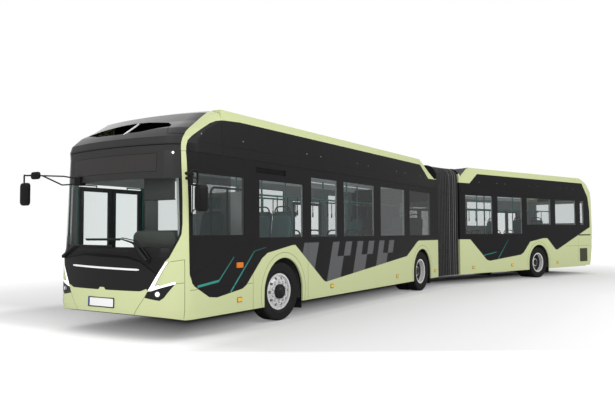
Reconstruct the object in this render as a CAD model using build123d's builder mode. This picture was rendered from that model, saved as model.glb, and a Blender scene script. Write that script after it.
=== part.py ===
from build123d import *
import os
from math import asin, cos, radians, sin, sqrt

# Low-floor articulated city bus. Millimetres, +X forward, +Y to the bus's left, +Z up.
# The origin is on the road under the middle of the front axle. The rear car is drawn
# straight behind its pivot, in its own frame, and then turned to the parked bend.

os.makedirs("parts", exist_ok=True)

# --- Stance ------------------------------------------------------------------------
wheelbase = 6100            # front axle to middle axle
pivot_x = -wheelbase - 1853  # articulation pivot
rear_axle_x = -4780         # rear axle, behind the pivot
parked_bend = -19.45        # rear car's turn about the pivot as it stands
parked_steer = -5.3         # front wheels' turn as it stands
front_end_x = pivot_x + 817  # back of the front car's body
gap_behind_pivot = 816      # pivot to the front of the rear car's body

# --- Body shell --------------------------------------------------------------------
half_width = 1275
wall = 60
roof_thick = 80
skirt_z = 275               # lower edge of the side panels
floor_z = 330               # low floor that passengers walk on
floor_thick = 55
seam_z = 2580               # joint between the side walls and the roof covers
roof_z = 2720               # top of the structural roof
roof_half = half_width - 51  # its edge beams stand on the walls to here
cover_z = 3270              # top of the roof covers
cover_half = half_width - 50  # half width at the top of the roof covers
cover_thick = 40
seam_gap = 3
curve_gap = 0.8             # the same behind curved walls
fit_gap = 0.3               # seated pieces of one body
nose_shape = (400, 4000)    # plan radii of the corner and of the bowed face
tail_shape = (150, 8000)
lid_thick = 40              # top of the hollow ends

# Front face: (height, forward reach of its middle)
nose_levels = ((275, 2630), (420, 2668), (980, 2662), (1130, 2648), (1255, 2622), (2583, 2563), (2700, 2575))
dome_levels = ((2583, 2563), (2700, 2575), (2790, 2545), (2930, 2385), (3060, 2135), (3150, 2000),
               (3215, 1900), (3270, 1700))
dome_back_x = 1560


def corner_start(reach, shape):
    """How far ahead the straight sides could run before the corner's arc begins."""
    corner, bow = shape
    return reach - bow + (bow - corner) * cos(asin((half_width - corner) / (bow - corner)))


nose_back_x = round(corner_start(min(reach for z, reach in nose_levels), nose_shape)) - 25
nose_top_z = 1200           # mask below the windscreen
screen_top_z = 2665
screen_edge_x = 2330        # windscreen wraps back to here
mask_edge_x = 2235          # mask wraps back to here
glass_thick = 12
dome_thick = 40

# Rear face: (height, rearward reach of its middle, behind the pivot)
tail_levels = ((300, 8060), (440, 8130), (900, 8215), (1600, 8245), (2583, 8210))
tail_cover_levels = ((2583, 8210), (2810, 8188), (2940, 8091), (3080, 7972), (3210, 7722), (3270, 7480))
tail_back_x = -7590         # straight sides end here
tail_cover_x = -7350        # roof covers end and the tail's top begins
roof_tail_x = -7540         # structural roof ends

# --- Windows and doors ---------------------------------------------------------------
# Side windows: (from x, to x, sill height, head height)
last_pillar = front_end_x + 516      # windows keep their distance from the gangway's frame
left_windows = (
    (1050, 2200, 1410, 2300),
    (-620, 680, 1365, 2300),
    (-1830, -860, 1365, 2450),
    (last_pillar + 3200, -2050, 1365, 2450),
    (last_pillar + 1620, last_pillar + 2920, 1365, 2450),
    (last_pillar, last_pillar + 1340, 1365, 2450),
)
right_windows = (
    (-650, 420, 1365, 2450),
    (-1950, -900, 1365, 2450),
    (-wheelbase + 2430, -2200, 1365, 2450),
    (last_pillar, last_pillar + 920, 1365, 2450),
)
rear_left_windows = (
    (-2350, -1065, 1375, 2500),
    (-3860, -2575, 1375, 2500),
    (-5475, -4085, 1655, 2500),
    (-7010, -5715, 1655, 2500),
    (-7550, -7275, 1655, 2500),
)
rear_right_windows = (
    (-4200, -2900, 1375, 2500),
    (-5850, -4400, 1655, 2500),
)
# Doorways on the right side: (name, car, middle x)
doorways = (
    ("door1", "front", 1450),
    ("door2", "front", -wheelbase + 1400),
    ("door3", "rear", -2000),
    ("door4", "rear", -6750),
)
portal_half = 660           # half the doorway at the outer skin
portal_top = 2250
louvre_depth = 25           # air intake over the first side window
jamb_lip = 16               # outer skin that covers the door post
post_pocket = 55            # inner wall is cut back this far behind the lip
leaf_inner = 5              # leaf edges, measured from the doorway's middle
leaf_outer = 645
leaf_thick = 40
leaf_inset = 4              # leaf's outer face, in from the body side
leaf_low = 365
leaf_high = 2205
leaf_frame = 70
pane_thick = 8
pane_low = 470
post_out = 685              # door post, from the doorway's middle
post_y = -(half_width - 35)
post_r = 14
arm_width = 30
arm_thick = 18
arm_lift = 8                # arm above the floor, and below the door head
pin_r = 8
pin_clear = 0.05
arm_reach = post_out - (leaf_inner + leaf_outer) / 2

# --- Wheels --------------------------------------------------------------------------
tyre_r = 479
tyre_width = 276
rim_r = 286
flange_r = 300
rim_half = 106              # half the rim's width
flange_slope = 22
barrel_thick = 16
track_face = half_width - 45  # outer face of the tyres
dual_spacing = 310
arch_r = 560
box_wall = 25
box_top = 1060
flap_thick = 12
flap_inset = 130
flap_low = 140
front_box_half = 640
front_box_y = 500
twin_box_half = 600
twin_box_y = 525
# Wheel arches: (car, arch middle x)
arches = (("front", -20), ("front", -wheelbase + 40), ("rear", rear_axle_x + 35))
kingpin_y = track_face - 300
kingpin_r = 25
spindle_r = 45
bearing_clear = 0.05
front_track_y = track_face - tyre_width / 2
twin_track_y = track_face - tyre_width / 2 - dual_spacing / 2

# --- Articulation --------------------------------------------------------------------
disc_r = 790
joint_r = 150
bellows_wall = 12
folds = 13
fold_depth = 34
bellows_half = half_width - 35
bellows_low = 272
bellows_high = 3230
bellows_corner = 300
passage_half = half_width - 225
passage_top = 2350

# --- Inside --------------------------------------------------------------------------
seat_width = 430
seat_pair = 880
seat_top = 800              # cushion above the road, on the low floor
box_seat_top = 1210         # and over a wheel box
back_height = 640
pole_r = 17
ceiling_z = roof_z - roof_thick
deck_z = 600                # driver's deck
inner = half_width - wall


def save(piece, name, at=Location()):
    """Label a finished piece, place it and write its file."""
    placed = piece.moved(at)
    placed.label = name
    export_step(placed, f"parts/{name}.step")


rear_place = Location((pivot_x, 0, 0), (0, 0, parked_bend))


def end_outline(z, reach, half, shape, back, inset):
    """Plan outline of a body end on a level: straight sides, corner arcs, bowed face."""
    tip, side, corner, bow = reach - inset, half - inset, shape[0] - inset, shape[1] - inset
    middle_y = side - corner
    lean = asin(middle_y / (bow - corner))
    middle_x = tip - bow + (bow - corner) * cos(lean)
    edge = (tip - bow + bow * cos(lean), bow * sin(lean))
    turn = (lean + radians(90)) / 2
    knee = (middle_x + corner * cos(turn), middle_y + corner * sin(turn))
    with BuildSketch(Plane.XY.offset(z)) as outline:
        with BuildLine():
            Line((back, -side), (middle_x, -side))
            ThreePointArc((middle_x, -side), (knee[0], -knee[1]), (edge[0], -edge[1]))
            ThreePointArc((edge[0], -edge[1]), (tip, 0), edge)
            ThreePointArc(edge, knee, (middle_x, side))
            Line((middle_x, side), (back, side))
            Line((back, side), (back, -side))
        make_face()
    return outline.sketch


def cover_side(z):
    """Half width of the body at a height: upright walls, roof covers leaning in."""
    lean = (half_width - cover_half) / (cover_z - seam_z)
    return half_width - max(0, z - seam_z) * lean


def body_end(levels, shape, back, inset):
    """Body end lofted through (height, reach) levels, each drawn in by an inset."""
    with BuildPart() as end:
        for z, tip in levels:
            add(end_outline(z, tip, cover_side(z), shape, back, inset))
        loft(ruled=True)
    return end.part


def end_shell(levels, shape, back, thick, lid=0):
    """Hollow body end of an even wall, closed above where a lid is given."""
    top, reach = levels[-1]
    with BuildPart() as shell:
        add(body_end(levels, shape, back, 0))
        add(body_end((*levels[:-1], (top - lid, reach)), shape, back - 1, thick), mode=Mode.SUBTRACT)
    return shell.part


def face_x(y, z):
    """Where the nose's outer face stands at a side offset and a height."""
    low = max(level for level in nose_levels if level[0] <= z)
    high = min(level for level in nose_levels if level[0] > z)
    tip = low[1] + (high[1] - low[1]) * (z - low[0]) / (high[0] - low[0])
    corner, bow = nose_shape
    middle_y = half_width - corner
    if abs(y) < bow * middle_y / (bow - corner):
        return tip - bow + sqrt(bow ** 2 - y ** 2)
    return tip - bow + sqrt((bow - corner) ** 2 - middle_y ** 2) + sqrt(corner ** 2 - (abs(y) - middle_y) ** 2)


def block(x0, x1, y0, y1, z0, z1, mode=Mode.ADD):
    """Box between two corners, in the piece being built."""
    with Locations(((x0 + x1) / 2, (y0 + y1) / 2, (z0 + z1) / 2)):
        Box(x1 - x0, y1 - y0, z1 - z0, mode=mode)


def cut_arches(car, side):
    """Round wheel arches through one side wall, open down to the skirt."""
    for arch_car, x in arches:
        if arch_car == car:
            with Locations((x, side * (inner + wall / 2), tyre_r)):
                Cylinder(arch_r, wall * 2, rotation=(90, 0, 0), mode=Mode.SUBTRACT)
            block(x - arch_r, x + arch_r, side * (inner + wall / 2) - wall,
                  side * (inner + wall / 2) + wall, skirt_z - 1, tyre_r, mode=Mode.SUBTRACT)


def cut_windows(windows, side):
    """Window openings through one side wall."""
    for x0, x1, z0, z1 in windows:
        block(x0, x1, side * (inner + wall / 2) - wall, side * (inner + wall / 2) + wall,
              z0, z1, mode=Mode.SUBTRACT)


def cut_doorways(car):
    """Doorways through the right wall, with a thin outer lip over the door posts."""
    for name, door_car, x in doorways:
        if door_car == car:
            block(x - portal_half, x + portal_half, -half_width - 1, -inner + post_pocket,
                  skirt_z - 1, portal_top, mode=Mode.SUBTRACT)
            pocket = portal_half + post_pocket
            block(x - pocket, x + pocket, -half_width + jamb_lip, -inner + post_pocket,
                  skirt_z - 1, portal_top, mode=Mode.SUBTRACT)


def panes(windows, side):
    """Glass panes flush with the outer skin of one side."""
    for x0, x1, z0, z1 in windows:
        outer = side * (half_width - 2)
        low, high = sorted((outer, outer - side * pane_thick))
        block(x0 + fit_gap, x1 - fit_gap, low, high, z0 + fit_gap, z1 - fit_gap)


def end_frame(x0, x1):
    """Frame round the gangway, as tall as the bellows."""
    with BuildPart() as frame:
        with BuildSketch(Plane.YZ.offset(x0)):
            with Locations((0, (skirt_z + bellows_high) / 2)):
                Rectangle(2 * half_width - 20, bellows_high - skirt_z)
            with Locations((0, (floor_z + passage_top) / 2 - floor_thick)):
                Rectangle(2 * passage_half, passage_top - floor_z + 2 * floor_thick,
                          mode=Mode.SUBTRACT)
        extrude(amount=x1 - x0)
        top = frame.edges().filter_by(Axis.X).group_by(Axis.Z)[-1]
        fillet(top, bellows_corner)
    return frame.part


# --- Side walls ----------------------------------------------------------------------
with BuildPart() as front_walls:
    for side in (-1, 1):
        low, high = sorted((side * inner, side * half_width))
        block(front_end_x, nose_back_x, low, high, skirt_z, seam_z - 2)
    add(end_frame(front_end_x, front_end_x + wall))
with BuildPart() as pillars:
    add(end_shell(nose_levels, nose_shape, nose_back_x, wall))
    block(nose_back_x - 1, screen_edge_x, -half_width, half_width, skirt_z, seam_z - 2,
          mode=Mode.INTERSECT)
    block(mask_edge_x, screen_edge_x + 1, -half_width, half_width, skirt_z - 1, nose_top_z + fit_gap,
          mode=Mode.SUBTRACT)
with BuildPart() as front_body:
    add(front_walls.part)
    add(pillars.part)
    cut_arches("front", 1)
    cut_arches("front", -1)
    cut_windows(left_windows, 1)
    cut_windows(right_windows, -1)
    cut_doorways("front")
    block(-60, 760, half_width - louvre_depth, half_width + 1, 2400, 2485, mode=Mode.SUBTRACT)
    for z in (2415, 2436, 2457):
        block(-61, 761, half_width - louvre_depth - 1, half_width - 4, z, z + 9)
save(front_body.part, "front_walls")

with BuildPart() as rear_walls:
    for side in (-1, 1):
        low, high = sorted((side * inner, side * half_width))
        block(tail_back_x, -gap_behind_pivot, low, high, skirt_z, seam_z - 2)
    add(end_frame(-gap_behind_pivot - wall, -gap_behind_pivot))
    cut_arches("rear", 1)
    cut_arches("rear", -1)
    cut_windows(rear_left_windows, 1)
    cut_windows(rear_right_windows, -1)
    cut_doorways("rear")
save(rear_walls.part, "rear_walls", rear_place)

# --- Nose ----------------------------------------------------------------------------
# Headlamp seen from ahead: a bright V over a dark lens, as (y, z)
lamp_outline = ((1075, 1066), (1128, 1060), (985, 735), (1175, 800), (1178, 770), (1061, 588),
                (1003, 547), (921, 556), (767, 580), (823, 677))


def lamp_prism():
    """Block in the shape of both headlamps, cut from ahead."""
    with BuildPart() as prism:
        for side in (-1, 1):
            with BuildSketch(Plane.YZ.offset(mask_edge_x + fit_gap)):
                Polygon(*[(side * y, z) for y, z in lamp_outline], align=None)
        extrude(amount=500)
    return prism.part


# Underside of the bumper, rising forward, as (x, z)
bumper_rise = ((2290, skirt_z), (2520, 325), (2700, 362))
with BuildPart() as nose:
    add(end_shell(nose_levels, nose_shape, nose_back_x, wall))
    with BuildSketch(Plane.XZ):
        Polygon(*bumper_rise, (2700, 100), (2290, 100), align=None)
    extrude(amount=half_width, both=True, mode=Mode.SUBTRACT)
    block(mask_edge_x + fit_gap, 3000, -half_width, half_width, skirt_z, nose_top_z, mode=Mode.INTERSECT)
    add(lamp_prism(), mode=Mode.SUBTRACT)
save(nose.part, "nose")

with BuildPart() as headlamps:
    add(end_shell(nose_levels, nose_shape, nose_back_x, wall))
    add(lamp_prism(), mode=Mode.INTERSECT)
save(headlamps.part, "headlamps")

with BuildPart() as windscreen:
    add(end_shell(nose_levels, nose_shape, nose_back_x, glass_thick))
    block(screen_edge_x + fit_gap, 3000, -half_width, half_width, nose_top_z + fit_gap, screen_top_z,
          mode=Mode.INTERSECT)
save(windscreen.part, "windscreen")

with BuildPart() as dome:
    add(end_shell(dome_levels, nose_shape, dome_back_x - 500, dome_thick, lid_thick))
    block(dome_back_x, 3000, -half_width, half_width, seam_z, cover_z, mode=Mode.INTERSECT)
    block(screen_edge_x, 3000, -half_width, half_width, seam_z, screen_top_z + seam_gap, mode=Mode.SUBTRACT)
with BuildPart() as dome_ceiling:
    add(body_end(dome_levels, nose_shape, dome_back_x - 500, dome_thick - 1))
    block(dome_back_x, 3000, -half_width, half_width, ceiling_z, roof_z, mode=Mode.INTERSECT)
with BuildPart() as bulkhead:
    add(body_end(dome_levels, nose_shape, dome_back_x - 500, dome_thick - 1))
    block(dome_back_x, dome_back_x + 15, -half_width, half_width, roof_z - 1, cover_z, mode=Mode.INTERSECT)
# Crescent air intake seen from ahead, one half as (y, z) from the middle outwards and back
intake_outline = ((0, 2882), (450, 2895), (700, 2935), (870, 2955), (860, 2985), (720, 3045), (300, 3090), (0, 3100))
with BuildPart() as dome_piece:
    add(dome.part)
    with BuildSketch(Plane.YZ.offset(1800)):
        Polygon(*intake_outline, *[(-y, z) for y, z in intake_outline[-2:0:-1]], align=None)
    extrude(amount=1000, mode=Mode.SUBTRACT)
    add(dome_ceiling.part)
    add(bulkhead.part)
save(dome_piece.part, "dome")

# --- Roof ----------------------------------------------------------------------------
def roof_section(x0, x1):
    """Roof plate with edge beams that stand on the side walls."""
    beam = 60
    with BuildPart() as plate:
        with BuildSketch(Plane.YZ.offset(x0)):
            with BuildLine():
                Polyline(
                    (-roof_half, seam_z), (-inner + beam, seam_z), (-inner + beam, ceiling_z),
                    (inner - beam, ceiling_z), (inner - beam, seam_z), (roof_half, seam_z),
                    (roof_half, roof_z), (-roof_half, roof_z), close=True)
            make_face()
        extrude(amount=x1 - x0)
    return plate.part


fan_r = 230
fan_hub_r = 75
fan_depth = 45
fan_y = 480
fan_places = (-380, 380)


def pod(x0, x1, half, top):
    """Roof pod for batteries or cooling: a box with bevelled upper edges and four fans on struts."""
    with BuildPart() as box:
        block(x0, x1, -half, half, roof_z, top)
        chamfer(box.edges().group_by(Axis.Z)[-1], 50)
        with Locations([((x0 + x1) / 2 + along, side * fan_y, top - fan_depth)
                        for along in fan_places for side in (-1, 1)]):
            Cylinder(fan_r, fan_depth + 1, align=(Align.CENTER, Align.CENTER, Align.MIN), mode=Mode.SUBTRACT)
            Cylinder(fan_hub_r, fan_depth - 5, align=(Align.CENTER, Align.CENTER, Align.MIN))
            Box(2 * fan_r + 2, 30, fan_depth - 8, align=(Align.CENTER, Align.CENTER, Align.MIN))
            Box(30, 2 * fan_r + 2, fan_depth - 8, align=(Align.CENTER, Align.CENTER, Align.MIN))
    return box.part


# Roof pods of the front car: (from x, to x, half width, top)
front_pods = ((-2300, -700, 1000, 3180), (-4100, -2500, 1000, 3180), (-5900, -4300, 1000, 3180))
rear_pods = ((-3300, -1600, 1000, 3180), (-5200, -3500, 1000, 3180), (-7000, -5400, 1000, 3180))
rail_ys = (-345, -115, 115, 345)

def fairing(profile):
    """Slanted plate across the roof beside the bellows, from a side profile of (x, z) points."""
    with BuildPart() as plate:
        with BuildSketch(Plane.XZ):
            Polygon(*profile, align=None)
        extrude(amount=cover_half - 175, both=True)
    return plate.part


with BuildPart() as front_roof:
    add(roof_section(front_end_x + wall + fit_gap, dome_back_x - fit_gap))
    for x0, x1, half, top in front_pods:
        add(pod(x0, x1, half, top))
    for y in rail_ys:
        block(-450, 1300, y - 35, y + 35, roof_z + 360, roof_z + 420)
    for x in (-300, 1100):
        block(x - 30, x + 30, -420, 420, roof_z + 330, roof_z + 360)
        for y in (-380, 380):
            block(x - 30, x + 30, y - 30, y + 30, roof_z, roof_z + 330)
    add(fairing([(front_end_x + back, z) for back, z in (
        (76, roof_z - 20), (76, 2790), (546, 3000), (1036, 3262), (1066, 3240), (561, 2970), (106, 2765),
        (106, roof_z - 20))]))
save(front_roof.part, "front_roof")

with BuildPart() as rear_roof:
    add(roof_section(roof_tail_x, -gap_behind_pivot - wall - fit_gap))
    for x0, x1, half, top in rear_pods:
        add(pod(x0, x1, half, top))
    add(fairing(((-885, roof_z - 20), (-885, 2960), (-1240, 3262), (-1275, 3262), (-1275, 3235), (-915, 2945),
                 (-915, roof_z - 20))))
save(rear_roof.part, "rear_roof", rear_place)


def side_covers(profile):
    """Roof covers along both sides, cut to a side profile of (x, z) points."""
    with BuildPart() as covers:
        with BuildSketch(Plane.XZ):
            Polygon(*profile, align=None)
        extrude(amount=max(half_width, cover_half), both=True)
        with BuildPart(mode=Mode.PRIVATE) as section:
            for side in (-1, 1):
                with BuildSketch(Plane.YZ.offset(min(x for x, z in profile) - 10)):
                    foot = roof_half + fit_gap
                    outline = ((half_width, seam_z + seam_gap), (cover_half, cover_z),
                               (cover_half - 170, cover_z), (cover_half - 170, cover_z - cover_thick),
                               (cover_half - cover_thick, cover_z - cover_thick),
                               (foot, roof_z), (foot, seam_z + seam_gap))
                    Polygon(*[(side * y, z) for y, z in outline], align=None)
            extrude(amount=20000)
        add(section.part, mode=Mode.INTERSECT)
    return covers.part


front_cover_profile = (
    (front_end_x + wall + 3, 2583), (dome_back_x - 3, 2583), (dome_back_x - 3, cover_z),
    (front_end_x + 1086, cover_z), (front_end_x + 536, 2990), (front_end_x + 66, 2790))
rear_cover_profile = (
    (-gap_behind_pivot - wall - 3, 2583), (-gap_behind_pivot - wall - 3, 2960), (-1275, cover_z),
    (tail_cover_x, cover_z), (tail_cover_x, 2583))
save(side_covers(front_cover_profile), "front_covers")
save(side_covers(rear_cover_profile), "rear_covers", rear_place)

# --- Tail ----------------------------------------------------------------------------
turn_round = Location((0, 0, 0), (0, 0, 180))
with BuildPart() as tail_low:
    add(end_shell(tail_levels, tail_shape, -tail_back_x + fit_gap, wall))
with BuildPart() as tail_high:
    add(end_shell(tail_cover_levels, tail_shape, -tail_cover_x - 500, cover_thick, lid_thick))
    block(-tail_cover_x + fit_gap, 9000, -half_width, half_width, seam_z, cover_z, mode=Mode.INTERSECT)
with BuildPart() as tail:
    add(tail_low.part)
    add(tail_high.part)
    block(7600, 8400, -900, 900, 1750, 2450, mode=Mode.SUBTRACT)
    for y in (-1060, 1060):
        block(7600, 8400, y - 60, y + 60, 900, 1500, mode=Mode.SUBTRACT)
save(tail.part.moved(turn_round), "tail", rear_place)

with BuildPart() as tail_lamps:
    add(end_shell(tail_levels, tail_shape, -tail_back_x + fit_gap, wall))
    with BuildPart(mode=Mode.PRIVATE) as lamp_blocks:
        for y in (-1060, 1060):
            block(7600, 8400, y - 60, y + 60, 900, 1500)
    add(lamp_blocks.part, mode=Mode.INTERSECT)
save(tail_lamps.part.moved(turn_round), "tail_lamps", rear_place)

# --- Glass ---------------------------------------------------------------------------
with BuildPart() as front_glass:
    panes(left_windows, 1)
    panes(right_windows, -1)
save(front_glass.part, "front_glass")

with BuildPart() as rear_side_glass:
    panes(rear_left_windows, 1)
    panes(rear_right_windows, -1)
with BuildPart() as rear_window:
    add(end_shell(tail_levels, tail_shape, -tail_back_x, pane_thick))
    block(7600, 8400, -900 + fit_gap, 900 - fit_gap, 1750 + fit_gap, 2450 - fit_gap,
          mode=Mode.INTERSECT)
with BuildPart() as rear_glass:
    add(rear_side_glass.part)
    add(rear_window.part.moved(turn_round))
save(rear_glass.part, "rear_glass", rear_place)

# --- Floors --------------------------------------------------------------------------
def wheel_boxes(x, half, box_y):
    """Boxes over a pair of wheels, open below and to the side, with a mudflap behind each."""
    for side in (-1, 1):
        low, high = sorted((side * (inner - fit_gap), side * box_y))
        block(x - half, x + half, low, high, floor_z - floor_thick, box_top)
    for side in (-1, 1):
        low, high = sorted((side * (inner + 5), side * (box_y + box_wall)))
        block(x - half + box_wall, x + half - box_wall, low, high, floor_z - floor_thick - 1,
              box_top - box_wall, mode=Mode.SUBTRACT)
        low, high = sorted((side * (inner - 5), side * (box_y + flap_inset)))
        block(x - half, x - half + flap_thick, low, high, flap_low, floor_z - floor_thick + 1)


def sills(car):
    """Floor edge in each doorway."""
    for name, door_car, x in doorways:
        if door_car == car:
            block(x - portal_half + 5, x + portal_half - 5, -half_width + leaf_inset, -inner + 5,
                  floor_z - floor_thick, floor_z)


def nose_fill(y, profile):
    """Inside of the nose within a side profile of (x, z) points, from a side offset to the left wall."""
    with BuildPart() as fill:
        add(body_end(nose_levels, nose_shape, nose_back_x - 20, wall + curve_gap))
        with BuildPart(mode=Mode.INTERSECT):
            with BuildSketch(Plane.XZ.offset(-half_width)):
                Polygon(*profile, align=None)
            extrude(amount=half_width - y)
    return fill.part


deck_x = 1150               # driver's deck: its back and its inner edge
deck_y = 150
pad_x = -900                # jacking pads under the floor
pad_y = 950
pad_drop = 12
with BuildPart() as front_floor:
    block(front_end_x + wall + fit_gap, nose_back_x, -inner + fit_gap, inner - fit_gap,
          floor_z - floor_thick, floor_z)
    block(front_end_x + 5, front_end_x + wall + 1, -passage_half + fit_gap, passage_half - fit_gap,
          floor_z - floor_thick, floor_z)
    sills("front")
    wheel_boxes(0, front_box_half, front_box_y)
    wheel_boxes(-wheelbase, twin_box_half, twin_box_y)
    add(nose_fill(-half_width, ((nose_back_x - 20, skirt_z), *bumper_rise, (2700, 415), (2300, floor_z),
                                (nose_back_x - 20, floor_z))))
    add(nose_fill(deck_y, ((nose_back_x - 20, floor_z - 5), (2300, floor_z - 5), (2700, 405), (2700, deck_z),
                           (nose_back_x - 20, deck_z))))
    for side in (-1, 1):
        with Locations((pad_x, side * pad_y, skirt_z - pad_drop)):
            Cylinder(60, pad_drop + 5, align=(Align.CENTER, Align.CENTER, Align.MIN))
    block(deck_x, nose_back_x, deck_y, inner - fit_gap, floor_z, deck_z)
save(front_floor.part, "front_floor")

with BuildPart() as rear_floor:
    block(tail_back_x + 10, -gap_behind_pivot - wall - fit_gap, -inner + fit_gap, inner - fit_gap,
          floor_z - floor_thick, floor_z)
    block(-gap_behind_pivot - wall - 1, -gap_behind_pivot - 5, -passage_half + fit_gap,
          passage_half - fit_gap, floor_z - floor_thick, floor_z)
    sills("rear")
    wheel_boxes(rear_axle_x, twin_box_half, twin_box_y)
    with BuildPart(mode=Mode.PRIVATE) as shelf:
        add(body_end(tail_levels, tail_shape, -tail_back_x - 20, wall + fit_gap))
        block(7000, 9000, -half_width, half_width, tail_levels[0][0], floor_z, mode=Mode.INTERSECT)
    add(shelf.part.moved(turn_round))
save(rear_floor.part, "rear_floor", rear_place)

# --- Articulation --------------------------------------------------------------------
plate_low = 165
plate_high = 220
tongue_low = 226
with BuildPart() as turntable:
    with BuildSketch(Plane.XY.offset(plate_low)):
        with BuildLine():
            Polyline((0, 260), (-pivot_x + front_end_x + 60, 520), (-pivot_x + front_end_x + 60, -520),
                     (0, -260), close=True)
        make_face()
        Circle(300)
        Circle(joint_r + bearing_clear, mode=Mode.SUBTRACT)
    extrude(amount=plate_high - plate_low)
    block(-pivot_x + front_end_x + 5, -pivot_x + front_end_x + 60, -520, 520, plate_low,
          floor_z - floor_thick)
save(turntable.part, "turntable", Location((pivot_x, 0, 0)))

with BuildPart() as coupling:
    with BuildSketch(Plane.XY.offset(tongue_low)):
        with BuildLine():
            Polyline((0, 240), (-gap_behind_pivot - 60, 520), (-gap_behind_pivot - 60, -520), (0, -240),
                     close=True)
        make_face()
        Circle(300)
    extrude(amount=floor_z - floor_thick - tongue_low)
    with Locations((0, 0, plate_low)):
        Cylinder(joint_r, tongue_low - plate_low, align=(Align.CENTER, Align.CENTER, Align.MIN))
    with Locations((0, 0, floor_z - floor_thick)):
        Cylinder(disc_r, floor_thick, align=(Align.CENTER, Align.CENTER, Align.MIN))
save(coupling.part, "coupling", rear_place)

bend = radians(parked_bend)


def gangway_plane(share):
    """Plane across the gangway at a share of the way through the parked bend."""
    x0, x1 = front_end_x - fit_gap, pivot_x - (gap_behind_pivot - fit_gap) * cos(bend)
    y1, turn = -(gap_behind_pivot - fit_gap) * sin(bend), bend * share
    return Plane(origin=(x0 + (x1 - x0) * share, y1 * share ** 2, 0), x_dir=(sin(turn), -cos(turn), 0),
                 z_dir=(-cos(turn), -sin(turn), 0))


def gangway_tube(half, low, high, corner):
    """Folded tube between the two end frames: ridges and valleys in turn."""
    with BuildPart() as tube:
        for step in range(2 * folds + 1):
            draw = fold_depth * (step % 2)
            with BuildSketch(gangway_plane(step / (2 * folds))):
                with Locations((0, (low + high - draw) / 2)):
                    RectangleRounded(2 * (half - draw), high - draw - low, corner - draw)
        loft(ruled=True)
    return tube.part


with BuildPart() as bellows:
    add(gangway_tube(bellows_half, bellows_low, bellows_high, bellows_corner))
    add(gangway_tube(bellows_half - bellows_wall, bellows_low - bellows_high / 2,
                     bellows_high - bellows_wall, bellows_corner - bellows_wall), mode=Mode.SUBTRACT)
save(bellows.part, "bellows")

# --- Doors ---------------------------------------------------------------------------
def door_post(hand):
    """Turning post with an arm below and above the leaf. hand is +1 for the post ahead."""
    arm_levels = (floor_z + arm_lift, portal_top - arm_lift - arm_thick)
    with BuildPart() as post:
        with Locations((hand * post_out, post_y, floor_z + fit_gap)):
            Cylinder(post_r, portal_top - floor_z - 2 * fit_gap,
                     align=(Align.CENTER, Align.CENTER, Align.MIN))
        for level in arm_levels:
            with BuildSketch(Plane.XY.offset(level)):
                with Locations((hand * (post_out - arm_reach / 2), post_y)):
                    SlotCenterToCenter(arm_reach, arm_width)
                with Locations((hand * (post_out - arm_reach), post_y)):
                    Circle(pin_r + pin_clear, mode=Mode.SUBTRACT)
            extrude(amount=arm_thick)
    return post.part


def door_leaf(hand):
    """Framed leaf with one tall pane and a pin above and below its middle."""
    x0, x1 = sorted((hand * leaf_inner, hand * leaf_outer))
    outer = -half_width + leaf_inset
    middle = (outer + leaf_thick / 2)
    with BuildPart() as leaf:
        block(x0, x1, outer, outer + leaf_thick, leaf_low, leaf_high)
        block(x0 + leaf_frame, x1 - leaf_frame, outer - 1, outer + leaf_thick + 1,
              pane_low, leaf_high - leaf_frame, mode=Mode.SUBTRACT)
        low = floor_z + arm_lift
        with Locations((hand * (post_out - arm_reach), post_y, low)):
            Cylinder(pin_r, leaf_low - low, align=(Align.CENTER, Align.CENTER, Align.MIN))
        with Locations((hand * (post_out - arm_reach), post_y, leaf_high)):
            Cylinder(pin_r, portal_top - arm_lift - leaf_high,
                     align=(Align.CENTER, Align.CENTER, Align.MIN))
        block(x0 + leaf_frame + fit_gap, x1 - leaf_frame - fit_gap, middle - pane_thick / 2,
              middle + pane_thick / 2, pane_low + fit_gap, leaf_high - leaf_frame - fit_gap)
    return leaf.part


for name, car, x in doorways:
    along = Location((x, 0, 0))
    place = along if car == "front" else rear_place * along
    for hand, end in ((1, "fore"), (-1, "aft")):
        save(door_post(hand), f"{name}_post_{end}", place)
        save(door_leaf(hand), f"{name}_leaf_{end}", place)

# --- Wheels, drawn about their own middle, with the hub axis along Y and the outside at +Y ----
def tyre(y):
    """Tyre section turned about the hub axis."""
    with BuildPart() as ring:
        with BuildSketch(Plane.XY):
            with BuildLine():
                half = tyre_width / 2
                bead = rim_half - flange_slope - 1
                seat_r, lip_r = rim_r + fit_gap, flange_r + 2
                over = (flange_r + fit_gap, rim_half - 11)
                Line((seat_r, y - bead), (seat_r, y + bead))
                Line((seat_r, y + bead), (over[0], y + over[1]))
                Line((over[0], y + over[1]), (lip_r, y + half - 12))
                ThreePointArc((lip_r, y + half - 12), (385, y + half), (452, y + half - 10))
                Line((452, y + half - 10), (tyre_r, y + half - 32))
                Line((tyre_r, y + half - 32), (tyre_r, y - half + 32))
                Line((tyre_r, y - half + 32), (452, y - half + 10))
                ThreePointArc((452, y - half + 10), (385, y - half), (lip_r, y - half + 12))
                Line((lip_r, y - half + 12), (over[0], y - over[1]))
                Line((over[0], y - over[1]), (seat_r, y - bead))
            make_face()
        revolve(axis=Axis.Y)
    return ring.part


def turned(points):
    """Disc or rim from a half section of (radius, y) points."""
    with BuildPart() as body:
        with BuildSketch(Plane.XY):
            Polygon(*points, align=None)
        revolve(axis=Axis.Y)
    return body.part


stud_circle = 167.5
stud_r = 11
hub_r = 140
disc_thick = 14
hand_hole_r = 27
hand_hole_circle = 222


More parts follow.
